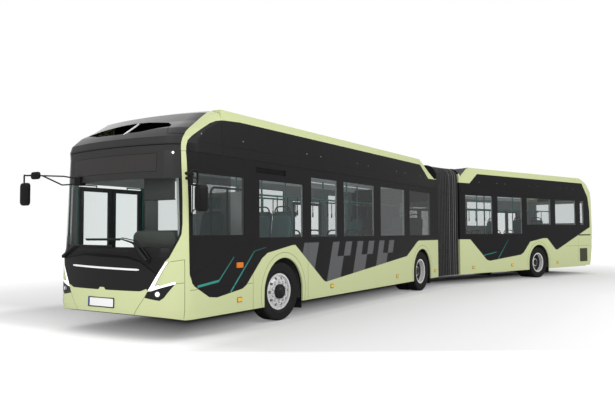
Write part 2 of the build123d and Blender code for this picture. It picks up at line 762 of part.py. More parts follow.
def front_rim():
    """Steering wheel rim: bulged disc near the outer flange, ten studs, a hub cap."""
    half = rim_half
    disc_y = 80
    with BuildPart() as rim:
        add(turned(((rim_r - barrel_thick, -half), (flange_r, -half), (flange_r, -half + 10),
                    (rim_r, -half + flange_slope), (rim_r, half - flange_slope), (flange_r, half - 10), (flange_r, half),
                    (rim_r - barrel_thick, half))))
        add(turned(((spindle_r + bearing_clear, disc_y), (rim_r - barrel_thick + 2, disc_y - 30),
                    (rim_r - barrel_thick + 2, disc_y - 30 + disc_thick), (215, disc_y + disc_thick + 12),
                    (spindle_r + bearing_clear, disc_y + disc_thick + 12))))
        add(turned(((spindle_r + bearing_clear, -20), (105, -20), (105, disc_y + 40),
                    (spindle_r + bearing_clear, disc_y + 40))))
        with BuildSketch(Plane.XZ.offset(-(disc_y + 60))):
            with PolarLocations(hand_hole_circle, 10):
                Circle(hand_hole_r)
        extrude(amount=90, mode=Mode.SUBTRACT)
        with BuildSketch(Plane.XZ.offset(-(disc_y + 20))):
            with PolarLocations(stud_circle, 10, start_angle=18):
                Circle(stud_r)
        extrude(amount=-40)
    return rim.part


def twin_rim():
    """Two rims back to back on one hub: deep dish with hand holes and a planet-hub cap."""
    half = rim_half + dual_spacing / 2
    with BuildPart() as rim:
        add(turned(((rim_r - barrel_thick, -half), (flange_r, -half), (flange_r, -half + 10),
                    (rim_r, -half + flange_slope), (rim_r, half - flange_slope), (flange_r, half - 10), (flange_r, half),
                    (rim_r - barrel_thick, half))))
        add(turned(((spindle_r + bearing_clear, -14), (rim_r - barrel_thick + 2, -40),
                    (rim_r - barrel_thick + 2, 40), (225, 14), (spindle_r + bearing_clear, 14))))
        add(turned(((spindle_r + bearing_clear, -60), (hub_r, -60), (hub_r, 120), (110, 170),
                    (spindle_r + bearing_clear, 170))))
        with BuildSketch(Plane.XZ.offset(-60)):
            with PolarLocations(hand_hole_circle, 10):
                Circle(hand_hole_r)
        extrude(amount=120, mode=Mode.SUBTRACT)
        with BuildSketch(Plane.XZ.offset(-13)):
            with PolarLocations(stud_circle, 10, start_angle=18):
                Circle(stud_r)
        extrude(amount=-35)
    return rim.part


def wheel_place(x, y, side):
    """Wheel middle, outside turned to its own side; right-hand studs stand between the left-hand ones."""
    return Location((x, side * y, tyre_r), (0, 0, 0 if side > 0 else 180)) * Location((0, 0, 0), (0, 0 if side > 0 else 18, 0))


def steered(side):
    """Front corner turned about its kingpin to the parked steer."""
    return Location((0, side * kingpin_y, 0), (0, 0, parked_steer)) * Location((0, -side * kingpin_y, 0))


for side, hand in ((1, "left"), (-1, "right")):
    place = steered(side) * wheel_place(0, front_track_y, side)
    save(front_rim(), f"front_rim_{hand}", place)
    save(tyre(0), f"front_tyre_{hand}", place)
    for name, car_place, x in (("mid", Location(), -wheelbase), ("rear", rear_place, rear_axle_x)):
        place = car_place * wheel_place(x, twin_track_y, side)
        save(twin_rim(), f"{name}_rims_{hand}", place)
        with BuildPart() as pair:
            add(tyre(dual_spacing / 2))
            add(tyre(-dual_spacing / 2))
        save(pair.part, f"{name}_tyres_{hand}", place)

# --- Axles ---------------------------------------------------------------------------
beam_low = 150
beam_high = 255
fork_gap = 6
stool_in = 250              # spring stools between the beams and the floor
stool_out = 400


def stools(half):
    """Spring stools from an axle beam up to the floor pan."""
    for side in (-1, 1):
        low, high = sorted((side * stool_in, side * stool_out))
        block(-half, half, low, high, beam_high - 5, floor_z - floor_thick - fit_gap)


with BuildPart() as front_axle:
    stools(55)
    block(-55, 55, -kingpin_y + 140, kingpin_y - 140, beam_low, beam_high)
    for side in (-1, 1):
        low, high = sorted((side * (kingpin_y - 200), side * (kingpin_y - 120)))
        block(-55, 55, low, high, beam_low, 520)
        low, high = sorted((side * (kingpin_y - 130), side * kingpin_y))
        block(-40, 40, low, high, 440, 520)
        with Locations((0, side * kingpin_y, 440)):
            Cylinder(48, 80, align=(Align.CENTER, Align.CENTER, Align.MIN))
        with Locations((0, side * kingpin_y, 370)):
            Cylinder(kingpin_r, 220, align=(Align.CENTER, Align.CENTER, Align.MIN))
save(front_axle.part, "front_axle")


def twin_axle():
    """Dropped portal axle: low beam under the aisle, drop boxes and spindles."""
    with BuildPart() as axle:
        stools(110)
        block(-110, 110, -560, 560, beam_low, beam_high)
        for side in (-1, 1):
            low, high = sorted((side * 555, side * 630))
            block(-110, 110, low, high, beam_low, 620)
            reach = twin_track_y + 160 - 560
            with Locations((0, side * (560 + reach / 2), tyre_r)):
                Cylinder(spindle_r, reach, rotation=(90, 0, 0))
    return axle.part


save(twin_axle(), "mid_axle", Location((-wheelbase, 0, 0)))
save(twin_axle(), "rear_axle", rear_place * Location((rear_axle_x, 0, 0)))


def knuckle():
    """Steering knuckle of the left wheel: fork on the kingpin, brake disc, spindle."""
    with BuildPart() as fork:
        for low, high in ((370, 440 - fork_gap), (520 + fork_gap, 590)):
            with Locations((0, kingpin_y, low)):
                Cylinder(48, high - low, align=(Align.CENTER, Align.CENTER, Align.MIN))
            block(-40, 40, kingpin_y, kingpin_y + 75, low, high)
        block(-60, 60, kingpin_y + 58, kingpin_y + 78, 370, 590)
        with Locations((0, kingpin_y + 95, tyre_r)):
            Cylinder(215, 34, rotation=(90, 0, 0))
        with Locations((0, kingpin_y + 78 + 100, tyre_r)):
            Cylinder(spindle_r, 200, rotation=(90, 0, 0))
        with Locations((0, kingpin_y, 480)):
            Cylinder(kingpin_r + bearing_clear, 300, mode=Mode.SUBTRACT)
    return fork.part


save(knuckle(), "knuckle_left", steered(1))
save(knuckle().moved(Location((0, 0, 0), (0, 0, 180))), "knuckle_right", steered(-1))

# --- Driver's place ------------------------------------------------------------------
with BuildPart() as dashboard:
    add(body_end(nose_levels, nose_shape, nose_back_x, wall + curve_gap))
    block(2190, 3000, -half_width, half_width, deck_z + fit_gap, 1180, mode=Mode.INTERSECT)
    with BuildSketch(Plane.XZ.offset(-1100)):
        Polygon((2195, 760), (2075, 900), (2060, 1120), (2090, 1200), (2260, 1235), (2330, 1180), (2330, 760),
                align=None)
    extrude(amount=900)
    with BuildSketch(Plane(origin=(1880, 620, 1290), x_dir=(0, 1, 0), z_dir=(-0.45, 0, 0.893))) as rim_plane:
        Circle(225)
        Circle(197, mode=Mode.SUBTRACT)
    extrude(amount=26)
    with BuildSketch(rim_plane.workplanes[0]):
        Rectangle(400, 40)
        Circle(60)
    extrude(amount=14)
    with BuildSketch(rim_plane.workplanes[0]):
        Circle(40)
    extrude(amount=-470)
save(dashboard.part, "dashboard")


def seat(x, y, stand, cushion, facing, places=2):
    """Bench for one or two on a pedestal: moulded cushions and backs. facing is +1 forward."""
    width = places * seat_width + (places - 1) * (seat_pair - 2 * seat_width)
    outline = ((-210, cushion - 60), (210, cushion - 60), (220, cushion), (-110, cushion - 20),
               (-200, cushion + back_height), (-260, cushion + back_height), (-240, cushion - 40))
    with BuildPart() as bench:
        with BuildSketch(Plane.XZ.offset(-y - width / 2)):
            Polygon(*[(x + facing * px, z) for px, z in outline], align=None)
        extrude(amount=width)
        block(x - 60, x + 60, y - 130, y + 130, stand + fit_gap, cushion - 50)
    return bench.part


seat_left_y = inner - 20 - seat_pair / 2
# Seats: (x, y, stand height, cushion height, facing, places)
row_pitch = (wheelbase - 2100) / 5
row_x = [-1150 - k * row_pitch for k in range(5)]
front_seats_table = (
    (-150, seat_left_y, box_top, box_seat_top, 1, 2), (row_x[0], seat_left_y, floor_z, seat_top, 1, 2),
    (row_x[1], seat_left_y, floor_z, seat_top, 1, 2), (row_x[2], seat_left_y, floor_z, seat_top, 1, 2),
    (row_x[3], seat_left_y, floor_z, seat_top, 1, 2), (row_x[4], seat_left_y, floor_z, seat_top, 1, 2),
    (-wheelbase + 1000, seat_left_y, floor_z, seat_top, 1, 2),
    (-wheelbase - 250, seat_left_y + 100, box_top, box_seat_top, 1, 1),
    (-wheelbase + 200, seat_left_y + 100, box_top, box_seat_top, -1, 1),
    (-150, -seat_left_y, box_top, box_seat_top, 1, 2), (row_x[0], -seat_left_y, floor_z, seat_top, 1, 2),
    (row_x[1], -seat_left_y, floor_z, seat_top, 1, 2), (row_x[2], -seat_left_y, floor_z, seat_top, 1, 2),
    (-wheelbase - 250, -seat_left_y - 100, box_top, box_seat_top, 1, 1),
)
rear_seats_table = (
    (-1700, seat_left_y, floor_z, seat_top, 1, 2), (-2500, seat_left_y, floor_z, seat_top, 1, 2),
    (-3300, seat_left_y, floor_z, seat_top, 1, 2), (rear_axle_x - 270, seat_left_y + 100, box_top, box_seat_top, 1, 1),
    (rear_axle_x + 230, seat_left_y + 100, box_top, box_seat_top, -1, 1), (-5950, seat_left_y, floor_z, seat_top, 1, 2),
    (-6700, seat_left_y, floor_z, seat_top, 1, 2), (-7400, seat_left_y, floor_z, seat_top, 1, 2),
    (-3600, -seat_left_y, floor_z, seat_top, 1, 2), (rear_axle_x - 270, -seat_left_y - 100, box_top, box_seat_top, 1, 1),
)
with BuildPart() as front_seats:
    for row in front_seats_table:
        add(seat(*row))
    add(seat(1300, 620, deck_z, deck_z + 450, 1, 1))
save(front_seats.part, "front_seats")
with BuildPart() as rear_seats:
    for row in rear_seats_table:
        add(seat(*row))
save(rear_seats.part, "rear_seats", rear_place)


def rails(x0, x1, poles):
    """Overhead rails along both sides of the aisle, let in between upright poles."""
    rail_z = 2150
    with BuildPart() as frame:
        for side in (-1, 1):
            stops = sorted(x for x, pole_side in poles if pole_side == side)
            starts = [x0] + [x + pole_r + fit_gap for x in stops]
            ends = [x - pole_r - fit_gap for x in stops] + [x1]
            for start, end in zip(starts, ends):
                with Locations(((start + end) / 2, side * 300, rail_z)):
                    Cylinder(pole_r, end - start, rotation=(0, 90, 0))
        for x, side in poles:
            with Locations((x, side * 300, floor_z + fit_gap)):
                Cylinder(pole_r, ceiling_z - floor_z - 2 * fit_gap,
                         align=(Align.CENTER, Align.CENTER, Align.MIN))
    return frame.part


front_poles = ((-700, 1), (-2350, 1), (-3950, 1), (-5500, 1), (-700, -1), (-2350, -1), (-3900, -1), (-5600, -1))
rear_poles = ((-1300, 1), (-2900, 1), (-3950, 1), (-5600, 1), (-7000, 1), (-3000, -1), (-4100, -1), (-5700, -1))
with BuildPart() as front_rails:
    add(rails(front_end_x + 336, -500, front_poles))
    block(880, 910, 150, inner - 5, floor_z + fit_gap, 2100)
save(front_rails.part, "front_rails")
with BuildPart() as rear_rails:
    add(rails(-7300, -1100, rear_poles))
save(rear_rails.part, "rear_rails", rear_place)

# --- Mirrors and wipers ----------------------------------------------------------------
def tube(radius, points):
    """Bent tube through a few points."""
    start, then = Vector(*points[0]), Vector(*points[1])
    with BuildPart() as pipe:
        with BuildLine():
            Polyline(*points)
        with BuildSketch(Plane(origin=start, z_dir=then - start)):
            Circle(radius)
        sweep(transition=Transition.RIGHT)
    return pipe.part


mirror_arm_r = 11
with BuildPart() as mirrors:
    block(2440, 2590, -760, -600, 2165, 2305)
    block(2200, 2290, half_width - 95, half_width + 55, 2170, 2310)
    add(body_end(nose_levels, nose_shape, nose_back_x, -fit_gap), mode=Mode.SUBTRACT)
    add(tube(mirror_arm_r, ((2575, -715, 2282), (2650, -900, 2312), (2885, -1330, 2330))))
    add(tube(mirror_arm_r, ((2575, -680, 2190), (2690, -880, 2178), (2850, -1130, 2318))))
    block(2870, 2900, -1480, -1110, 2300, 2352)
    add(tube(mirror_arm_r, ((2885, -1470, 2330), (2885, -1525, 2350), (2885, -1525, 2215))))
    block(2862, 2922, -1600, -1400, 1880, 2225)
    block(2160, 2290, half_width + 50, half_width + 185, 2085, 2300)
    block(2070, 2250, half_width + 105, half_width + 205, 1750, 2085)
save(mirrors.part, "mirrors")

# Wipers: pivot, elbows and tip, each as (y, z) on the face
wiper_table = (
    ((-1050, 1110), (-690, 1284), (-245, 1281), (200, 1277)),
    ((820, 1080), (570, 1320), (350, 1376), (-400, 1374)),
)
wiper_lift = 34
with BuildPart() as wipers:
    for y, z in (row[0] for row in wiper_table):
        block(face_x(y, z) - 60, face_x(y, z) + wiper_lift, y - 26, y + 26, z - 26, z + 26)
    add(body_end(nose_levels, nose_shape, nose_back_x, -fit_gap), mode=Mode.SUBTRACT)
    for row in wiper_table:
        add(tube(10, [(face_x(y, z) + wiper_lift, y, z) for y, z in row]))
save(wipers.part, "wipers")
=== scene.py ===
import math

import bpy
from mathutils import Matrix, Vector


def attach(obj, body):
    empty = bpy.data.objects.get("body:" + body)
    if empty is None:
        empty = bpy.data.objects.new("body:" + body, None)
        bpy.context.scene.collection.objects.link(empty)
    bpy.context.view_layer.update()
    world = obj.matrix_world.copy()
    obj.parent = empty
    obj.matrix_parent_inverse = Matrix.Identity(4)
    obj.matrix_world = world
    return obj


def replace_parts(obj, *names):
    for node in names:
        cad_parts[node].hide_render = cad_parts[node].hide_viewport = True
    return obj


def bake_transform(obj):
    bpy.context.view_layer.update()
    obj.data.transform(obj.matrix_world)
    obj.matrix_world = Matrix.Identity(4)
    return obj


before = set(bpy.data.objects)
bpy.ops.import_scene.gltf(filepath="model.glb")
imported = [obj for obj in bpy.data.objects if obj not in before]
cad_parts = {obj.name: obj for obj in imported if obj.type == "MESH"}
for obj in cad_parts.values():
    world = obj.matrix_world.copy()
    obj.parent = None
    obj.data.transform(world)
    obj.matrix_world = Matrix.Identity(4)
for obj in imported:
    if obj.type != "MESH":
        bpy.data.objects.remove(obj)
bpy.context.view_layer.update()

# --- Camera --------------------------------------------------------------------------
# Eye height of someone standing ahead of the bus and to its left, looking back along
# its side, with a lens a little longer than wide.
camera_place = Vector((8.566, 7.186, 1.457))
camera_yaw, camera_pitch, camera_roll = 0.5657, 0.0438, -0.0042
ahead = Vector((-math.cos(camera_yaw) * math.cos(camera_pitch),
                -math.sin(camera_yaw) * math.cos(camera_pitch), math.sin(camera_pitch)))
level = ahead.cross(Vector((0, 0, 1))).normalized()
upright = level.cross(ahead)
right = math.cos(camera_roll) * level + math.sin(camera_roll) * upright
up = math.cos(camera_roll) * upright - math.sin(camera_roll) * level
camera = bpy.data.objects.new("camera", bpy.data.cameras.new("camera"))
camera.data.lens = 36.51
camera.data.clip_end = 200
camera.matrix_world = (Matrix.Translation(camera_place)
                       @ Matrix((right, up, -ahead)).transposed().to_4x4())
bpy.context.collection.objects.link(camera)
bpy.context.scene.camera = camera
bpy.context.scene.view_settings.view_transform = "Standard"


# --- Studio --------------------------------------------------------------------------
# A white sweep without a horizon under one even dome of light. Glossy rays find the
# dome and the floor darker, as black cloths round a studio make them for a gloss coat.
class Signal:
    """A shader value that Python's operators work on."""

    def __init__(self, tree, socket):
        self.tree, self.socket = tree, socket

    def math(self, operation, *others, first=None):
        node = self.tree.nodes.new("ShaderNodeMath")
        node.operation = operation
        for place, value in enumerate((self if first is None else first, *others)):
            if isinstance(value, Signal):
                self.tree.links.new(value.socket, node.inputs[place])
            else:
                node.inputs[place].default_value = value
        return Signal(self.tree, node.outputs[0])

    def __add__(self, other): return self.math("ADD", other)
    def __sub__(self, other): return self.math("SUBTRACT", other)
    def __mul__(self, other): return self.math("MULTIPLY", other)
    def __truediv__(self, other): return self.math("DIVIDE", other)
    def __pow__(self, other): return self.math("POWER", other)
    def __gt__(self, other): return self.math("GREATER_THAN", other)
    def __lt__(self, other): return self.math("LESS_THAN", other)
    def __radd__(self, other): return self.math("ADD", other)
    def __rmul__(self, other): return self.math("MULTIPLY", other)
    def __rsub__(self, other): return self.math("SUBTRACT", self, first=other)
    def __and__(self, other): return self.math("MULTIPLY", other)
    def __or__(self, other): return self.math("MAXIMUM", other)
    def __invert__(self): return 1.0 - self
    def __abs__(self): return self.math("ABSOLUTE")

    def clamp(self, low, high):
        return self.math("MAXIMUM", low).math("MINIMUM", high)

    def ramp(self, start, length):
        """0 up to a start, then rising to 1 over a length."""
        return ((self - start) / length).clamp(0.0, 1.0)


class Look:
    """A material whose surface is one Principled shader."""

    def __init__(self, name, colour=(0.8, 0.8, 0.8), **settings):
        self.material = bpy.data.materials.new(name)
        self.material.use_nodes = True
        self.tree = self.material.node_tree
        self.shader = self.tree.nodes["Principled BSDF"]
        self.output = self.tree.nodes["Material Output"]
        self.set("Base Color", (*colour, 1.0))
        for key, value in settings.items():
            self.set(self.title(key), value)

    def title(self, key):
        return key.replace("_", " ").title().replace("Ior", "IOR")

    def feed(self, socket, value):
        if isinstance(value, Signal):
            self.tree.links.new(value.socket, socket)
        else:
            socket.default_value = value

    def set(self, socket, value):
        self.feed(self.shader.inputs[socket], value)

    def node(self, kind, settings=None, **inputs):
        """Any node, from its type, its settings and the values or links of its sockets."""
        made = self.tree.nodes.new(kind)
        for key, value in (settings or {}).items():
            setattr(made, key, value)
        for key, value in inputs.items():
            self.feed(made.inputs[self.title(key)], value)
        return made

    def out(self, node, name=0):
        return Signal(self.tree, node.outputs[name])

    def place(self):
        """Object coordinates, which stay with a piece as its body moves."""
        self.vector = self.out(self.node("ShaderNodeTexCoord"), "Object")
        split = self.node("ShaderNodeSeparateXYZ", vector=self.vector)
        return tuple(self.out(split, axis) for axis in "XYZ")

    def blend(self, share, first, second):
        """Colour between two others."""
        mixed = self.node("ShaderNodeMix", {"data_type": "RGBA"})
        for place, value in ((0, share), (6, first), (7, second)):
            self.feed(mixed.inputs[place], (*value, 1.0) if isinstance(value, tuple) else value)
        return self.out(mixed, 2)

    def layers(self, colour, *coats):
        """A colour with others over it, each where its own mask is 1."""
        for mask, coat in coats:
            colour = self.blend(mask, colour, coat)
        return colour

    def mottle(self, share, first, second):
        """Base colour between two others, by a varying share."""
        self.set("Base Color", self.blend(share, first, second))

    def mix(self, share, first, second):
        """Mix of two shader nodes."""
        made = self.node("ShaderNodeMixShader")
        self.feed(made.inputs[0], share)
        self.tree.links.new(first.outputs[0], made.inputs[1])
        self.tree.links.new(second.outputs[0], made.inputs[2])
        return made

    def surface(self, node):
        self.tree.links.new(node.outputs[0], self.output.inputs["Surface"])

    def speckle(self, scale, detail=2.0):
        """Even noise through the piece, from 0 to 1."""
        if not hasattr(self, "vector"):
            self.place()
        return self.out(self.node("ShaderNodeTexNoise", vector=self.vector, scale=scale, detail=detail), 0)

    def rough(self, low, change, scale):
        """Roughness that varies a little through the piece."""
        self.set("Roughness", low + change * self.speckle(scale))
        return self

    def bump(self, height, distance, strength=1.0):
        made = self.node("ShaderNodeBump", height=height, strength=strength, distance=distance)
        self.set("Normal", self.out(made))

    def paint(self, *nodes):
        """Give CAD nodes this material."""
        for node in nodes:
            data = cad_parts[node].data
            data.materials.clear()
            data.materials.append(self.material)


studio = bpy.data.worlds.new("studio")
studio.use_nodes = True
bpy.context.scene.world = studio
sky = Look.__new__(Look)
sky.tree = studio.node_tree
background = sky.tree.nodes["Background"]
heading = sky.node("ShaderNodeSeparateXYZ", vector=sky.out(sky.node("ShaderNodeTexCoord"), "Generated"))
forward_part, left_part, height = (sky.out(heading, axis) for axis in "XYZ")
rays = sky.node("ShaderNodeLightPath")
seen, glossy = sky.out(rays, "Is Camera Ray"), sky.out(rays, "Is Glossy Ray")
dome_light = 0.78 + 0.30 * height.clamp(-0.4, 1.0)
# A white flat stands behind the bus on its far side and shows in the dome's slanting top
behind = (0.0 - forward_part).clamp(0.0, 1.0) * (0.0 - left_part).clamp(0.0, 1.0)
mirror_light = 0.22 + 0.75 * (height - 0.25).clamp(0.0, 0.6) + 1.8 * behind
strength = seen + (1.0 - seen) * (glossy * mirror_light + (1.0 - glossy) * dome_light)
sky.feed(background.inputs["Strength"], strength)
background.inputs["Color"].default_value = (1.0, 1.0, 1.0, 1.0)


class Shape:
    """Points and faces gathered into one piece."""

    def __init__(self):
        self.points, self.faces = [], []

    def add(self, points, faces):
        start = len(self.points)
        self.points += [Vector(p) for p in points]
        self.faces += [tuple(start + i for i in face) for face in faces]
        return self

    def rings(self, rings, caps=True, around=False):
        """Skin through rings of as many points each."""
        count, last = len(rings[0]), len(rings)
        faces = []
        for i in range(last if around else last - 1):
            for j in range(count):
                a, b = i * count + j, i * count + (j + 1) % count
                c, d = ((i + 1) % last) * count + (j + 1) % count, ((i + 1) % last) * count + j
                faces.append((a, b, c, d))
        if caps and not around:
            faces += [tuple(reversed(range(count))), tuple(range((last - 1) * count, last * count))]
        return self.add([p for ring in rings for p in ring], faces)

    def object(self, name, look, body=None, smooth=True, slot=None):
        """Make the piece, on a body of the frame or as part of the stage."""
        data = bpy.data.meshes.new(name)
        data.from_pydata([tuple(p) for p in self.points], [], self.faces)
        data.validate()
        data.materials.append(look.material)
        made = bpy.data.objects.new(name, data)
        bpy.context.collection.objects.link(made)
        if smooth:
            data.shade_smooth()
            data.set_sharp_from_angle(angle=math.radians(40))
        if body:
            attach(made, body)
        return made


pivot_x, parked_bend = -7.953, math.radians(-19.45)
shade_half = 0.95
white, no_light = (1.0, 1.0, 1.0), (0.0, 0.0, 0.0)


def rear_way(x, y):
    """Coordinates along and across the rear car, from the pivot."""
    dx, c, s = x - pivot_x, math.cos(parked_bend), math.sin(parked_bend)
    return dx * c + y * s, y * c - dx * s


def clear_of(x, y, front, back):
    """Distance outside a car's shade, which reaches well out on the far side."""
    beyond = (abs(x - (front + back) / 2) - (front - back) / 2).clamp(0.0, 200.0)
    beside = (abs(y + 1.3) - shade_half - 1.3).clamp(0.0, 200.0)
    return (beyond ** 2.0 + beside ** 2.0) ** 0.5


# The sweep glows a little, a painted light that also lays the bus's painted shadow on it: least
# under the bus, some at its left and front edges, more with the distance from it and ahead of it, so that it
# runs out to white on every side
floor_look = Look("studio_floor", (0.60, 0.60, 0.60), roughness=1.0, specular_ior_level=0.0,
                  emission_strength=1.0)
x, y, z = floor_look.place()
rear_x, rear_y = rear_way(x, y)
apart = clear_of(x, y, 2.15, -7.6).math("MINIMUM", clear_of(rear_x, rear_y, -0.2, -7.65))
depth = (x - camera_place.x) * ahead.x + (y - camera_place.y) * ahead.y
leftward = y + (x < pivot_x) * (rear_y - y)
edge_left = leftward.ramp(0.0, 0.85) * (1.0 - apart.ramp(0.0, 0.5))
edge_front = x.ramp(0.9, 1.2) * (1.0 - y.ramp(1.3, 0.6))
glow = (0.22 * edge_left.math("MAXIMUM", edge_front) + 0.16 * apart.ramp(0.0, 0.65)
        + 0.12 * apart.ramp(0.0, 4.4) + 0.25 * x.ramp(2.2, 1.0) * apart.ramp(0.3, 0.5)
        + 0.30 * apart.ramp(4.0, 6.0) + 0.8 * (1.0 - depth.ramp(7.05, 0.7)))
floor_look.set("Emission Color", floor_look.blend(glow, no_light, white))
mirrored = floor_look.out(floor_look.node("ShaderNodeLightPath"), "Is Glossy Ray")
dim = floor_look.node("ShaderNodeBsdfDiffuse", color=(0.25, 0.25, 0.25, 1.0))
floor_look.surface(floor_look.mix(mirrored, floor_look.shader, dim))
reach = 120
sweep = Shape().add([(sx * reach, sy * reach, 0) for sx, sy in ((-1, -1), (1, -1), (1, 1), (-1, 1))],
                    [(0, 1, 2, 3)])
sweep.object("studio_floor", floor_look, smooth=False)

# Soft boxes: (name, place, aimed at, width, height, power)
soft_boxes = (("side_box", (-4.0, 16.0, 11.0), (-4.0, 0.0, 1.5), 20.0, 8.0, 700.0),
              ("front_box", (16.0, 2.0, 9.0), (2.0, 0.0, 1.5), 10.0, 8.0, 230.0))
for name, place, target, width, tall, power in soft_boxes:
    lamp = bpy.data.lights.new(name, "AREA")
    lamp.shape, lamp.size, lamp.size_y, lamp.energy = "RECTANGLE", width, tall, power
    holder = bpy.data.objects.new(name, lamp)
    bpy.context.collection.objects.link(holder)
    holder.location = place
    holder.rotation_euler = (Vector(target) - Vector(place)).to_track_quat("-Z", "Y").to_euler()


# --- Body paint ----------------------------------------------------------------------
# Two-coat paint on steel and glass-fibre panels: pale green with a gloss black band round
# the windows. The band's edges run on from one panel to the next, so all share them.
body_green = (0.548, 0.595, 0.322)
gloss_black = (0.0125, 0.0115, 0.0120)
# The hood's black is painted a little lighter than the band's, a painted sheen on the same paint
hood_sheen_black = (0.0165, 0.0155, 0.0160)
module_grey = (0.105, 0.108, 0.111)
line_teal = (0.035, 0.270, 0.235)
joint_dark = (0.004, 0.004, 0.004)
green_joint = (0.130, 0.150, 0.070)
trim_grey = (0.330, 0.345, 0.340)
half_width = 1.275
arch_z = 0.479
ends = {"front_car": "front", "rear_car": "rear"}


def broken_line(value, points):
    """Height of a line through (value, height) points."""
    points = sorted(points)
    total = value * 0.0 + points[0][1]
    for (a, low), (b, high) in zip(points, points[1:]):
        if high != low:
            total = total + (value - a).clamp(0.0, b - a) * ((high - low) / (b - a))
    return total


def between(value, low, high):
    return (value > low) & (value < high)


def line(value, place, width=0.007):
    return abs(value - place) < width / 2


# Rear and front edges of the green pillar round the windscreen, as (height, offset): the
# offset is the distance to the side less the distance ahead, which grows round the corner
pillar_rear = ((0.788, -0.927), (0.898, -0.974), (1.36, -0.988), (1.907, -1.002), (2.18, -1.019),
               (2.456, -1.039), (2.566, -1.052), (2.649, -1.049), (2.734, -1.021), (2.804, -0.936),
               (2.908, -0.774), (3.036, -0.562), (3.085, -0.432), (3.114, -0.276), (3.141, 0.124))
pillar_front = ((0.69, -1.713), (1.068, -1.440), (1.121, -1.363), (1.241, -1.27), (1.361, -1.178),
                (1.442, -1.129), (1.578, -1.111), (1.905, -1.113), (2.124, -1.121), (2.343, -1.134),
                (2.618, -1.147), (2.687, -1.144), (2.759, -1.121), (2.869, -1.051), (2.937, -0.971),
                (3.11, -0.76), (3.202, -0.631), (3.27, -0.53))
# Lower edge of the hood's black on the face, as (distance from the middle, height)
hood_low = ((0.0, 0.700), (0.045, 0.700), (0.075, 0.665), (0.70, 0.665), (0.80, 0.700), (0.815, 0.677),
            (0.823, 0.677), (1.08, 1.066), (1.10, 1.08), (1.205, 1.40))
# Lower edge of the black band on the sides, as (x, height) along each car
front_band = ((2.225, 0.80), (2.15, 0.72), (1.85, 0.55), (1.68, 0.53), (1.10, 0.61), (1.00, 0.66),
              (0.60, 1.05), (0.45, 1.13), (-0.25, 1.24), (-0.35, 1.245), (-1.30, 0.57), (-1.38, 0.545),
              (-5.10, 0.89), (-5.75, 1.22), (-5.85, 1.245), (-7.2, 1.245))
rear_band = ((-0.8, 1.245), (-1.28, 1.24), (-2.02, 0.65), (-2.17, 0.61), (-3.75, 0.75), (-3.9, 0.82),
             (-4.25, 1.14), (-5.0, 1.24), (-5.22, 1.24), (-5.7, 0.875), (-5.8, 0.86), (-7.92, 1.60))
# Green stripe along the roof covers: its lower edge, and its upper edge where it comes down
front_stripe_low = ((-7.2, 2.83), (-6.554, 2.819), (-6.065, 3.137), (2.0, 3.141))
front_stripe_high = ((-7.087, 2.83), (-6.998, 2.97), (-6.767, 2.995), (-6.307, 3.244), (-6.25, 3.50))
rear_stripe_low = ((-7.5, 3.10), (-1.675, 3.11), (-1.30, 2.825), (-0.75, 2.825))
rear_stripe_high = ((-1.34, 3.50), (-1.275, 3.26), (-0.68, 3.0))
# Green edge of the tail, as (height, x)
tail_edge = ((1.60, -7.92), (2.15, -7.91), (2.65, -7.80), (3.10, -7.50))
teal_lines = {
    "front_car": (((2.09, 0.714), (1.64, 0.764), 0.034), ((1.64, 0.764), (1.30, 1.096), 0.018),
                  ((1.38, 0.58), (0.80, 1.168), 0.026), ((0.80, 1.168), (0.50, 1.22), 0.014)),
    "rear_car": (((-1.89, 0.775), (-2.5, 0.86), 0.022), ((-2.575, 0.66), (-3.1, 1.21), 0.020)),
}
front_modules = (-1.64, -2.63, -3.635)
# Panel joint that sweeps down ahead of the front wheel, as (x, height)
front_sweep = ((0.838, 1.287), (1.063, 1.278), (1.302, 1.229), (1.62, 1.107), (1.961, 0.966), (2.242, 0.858))


def on_car(point, car):
    """Place in the bus's frame of a point given along one car."""
    x, y, z = point
    if car == "rear_car":
        c, s = math.cos(parked_bend), math.sin(parked_bend)
        return Vector((pivot_x + x * c - y * s, x * s + y * c, z))
    return Vector(point)


def way(direction, car):
    """Direction in the bus's frame of one given along one car."""
    return on_car(direction, car) - on_car((0, 0, 0), car)


def along(look, car):
    """Coordinates along, across and above one car."""
    x, y, z = look.place()
    return (*rear_way(x, y), z) if car == "rear_car" else (x, y, z)


def stroke(x, z, start, end, width):
    """Straight line on a side between two (x, height) points."""
    (x0, z0), (x1, z1) = start, end
    length = math.hypot(x1 - x0, z1 - z0)
    ux, uz = (x1 - x0) / length, (z1 - z0) / length
    along_line = (x - x0) * ux + (z - z0) * uz
    across = (z - z0) * ux - (x - x0) * uz
    return between(along_line, 0.0, length) & (abs(across) < width / 2)


def any_of(masks):
    total = masks[0]
    for mask in masks[1:]:
        total = total | mask
    return total


def within(x, side, z, levels, corner, bow, inset):
    """Inner part of a bowed end with round corners, from its (height, reach) levels."""
    middle = half_width - corner
    reach = broken_line(z, levels) - bow
    ahead_of_arc = x - reach - math.sqrt((bow - corner) ** 2 - middle ** 2)
    bowed = ((x - reach) ** 2.0 + side ** 2.0) < (bow - inset) ** 2
    arc = (ahead_of_arc ** 2.0 + (side - middle) ** 2.0) < (corner - inset) ** 2
    return bowed & (side < half_width - inset) & (arc | (side < middle) | (ahead_of_arc < 0.0))


# Reach of both ends by height, and the radii of their corners and of their bow
nose_end = (((0.275, 2.630), (0.420, 2.668), (0.980, 2.662), (1.130, 2.648), (1.255, 2.622),
             (2.583, 2.563), (2.700, 2.575)), 0.4, 4.0)
tail_end = (((0.300, 8.060), (0.440, 8.130), (0.900, 8.215), (1.600, 8.245), (2.583, 8.210)), 0.15, 8.0)
lining_inset = 0.03
skirt_z, window_top, cover_z, arch_r = 0.28, 2.53, 2.735, 0.645


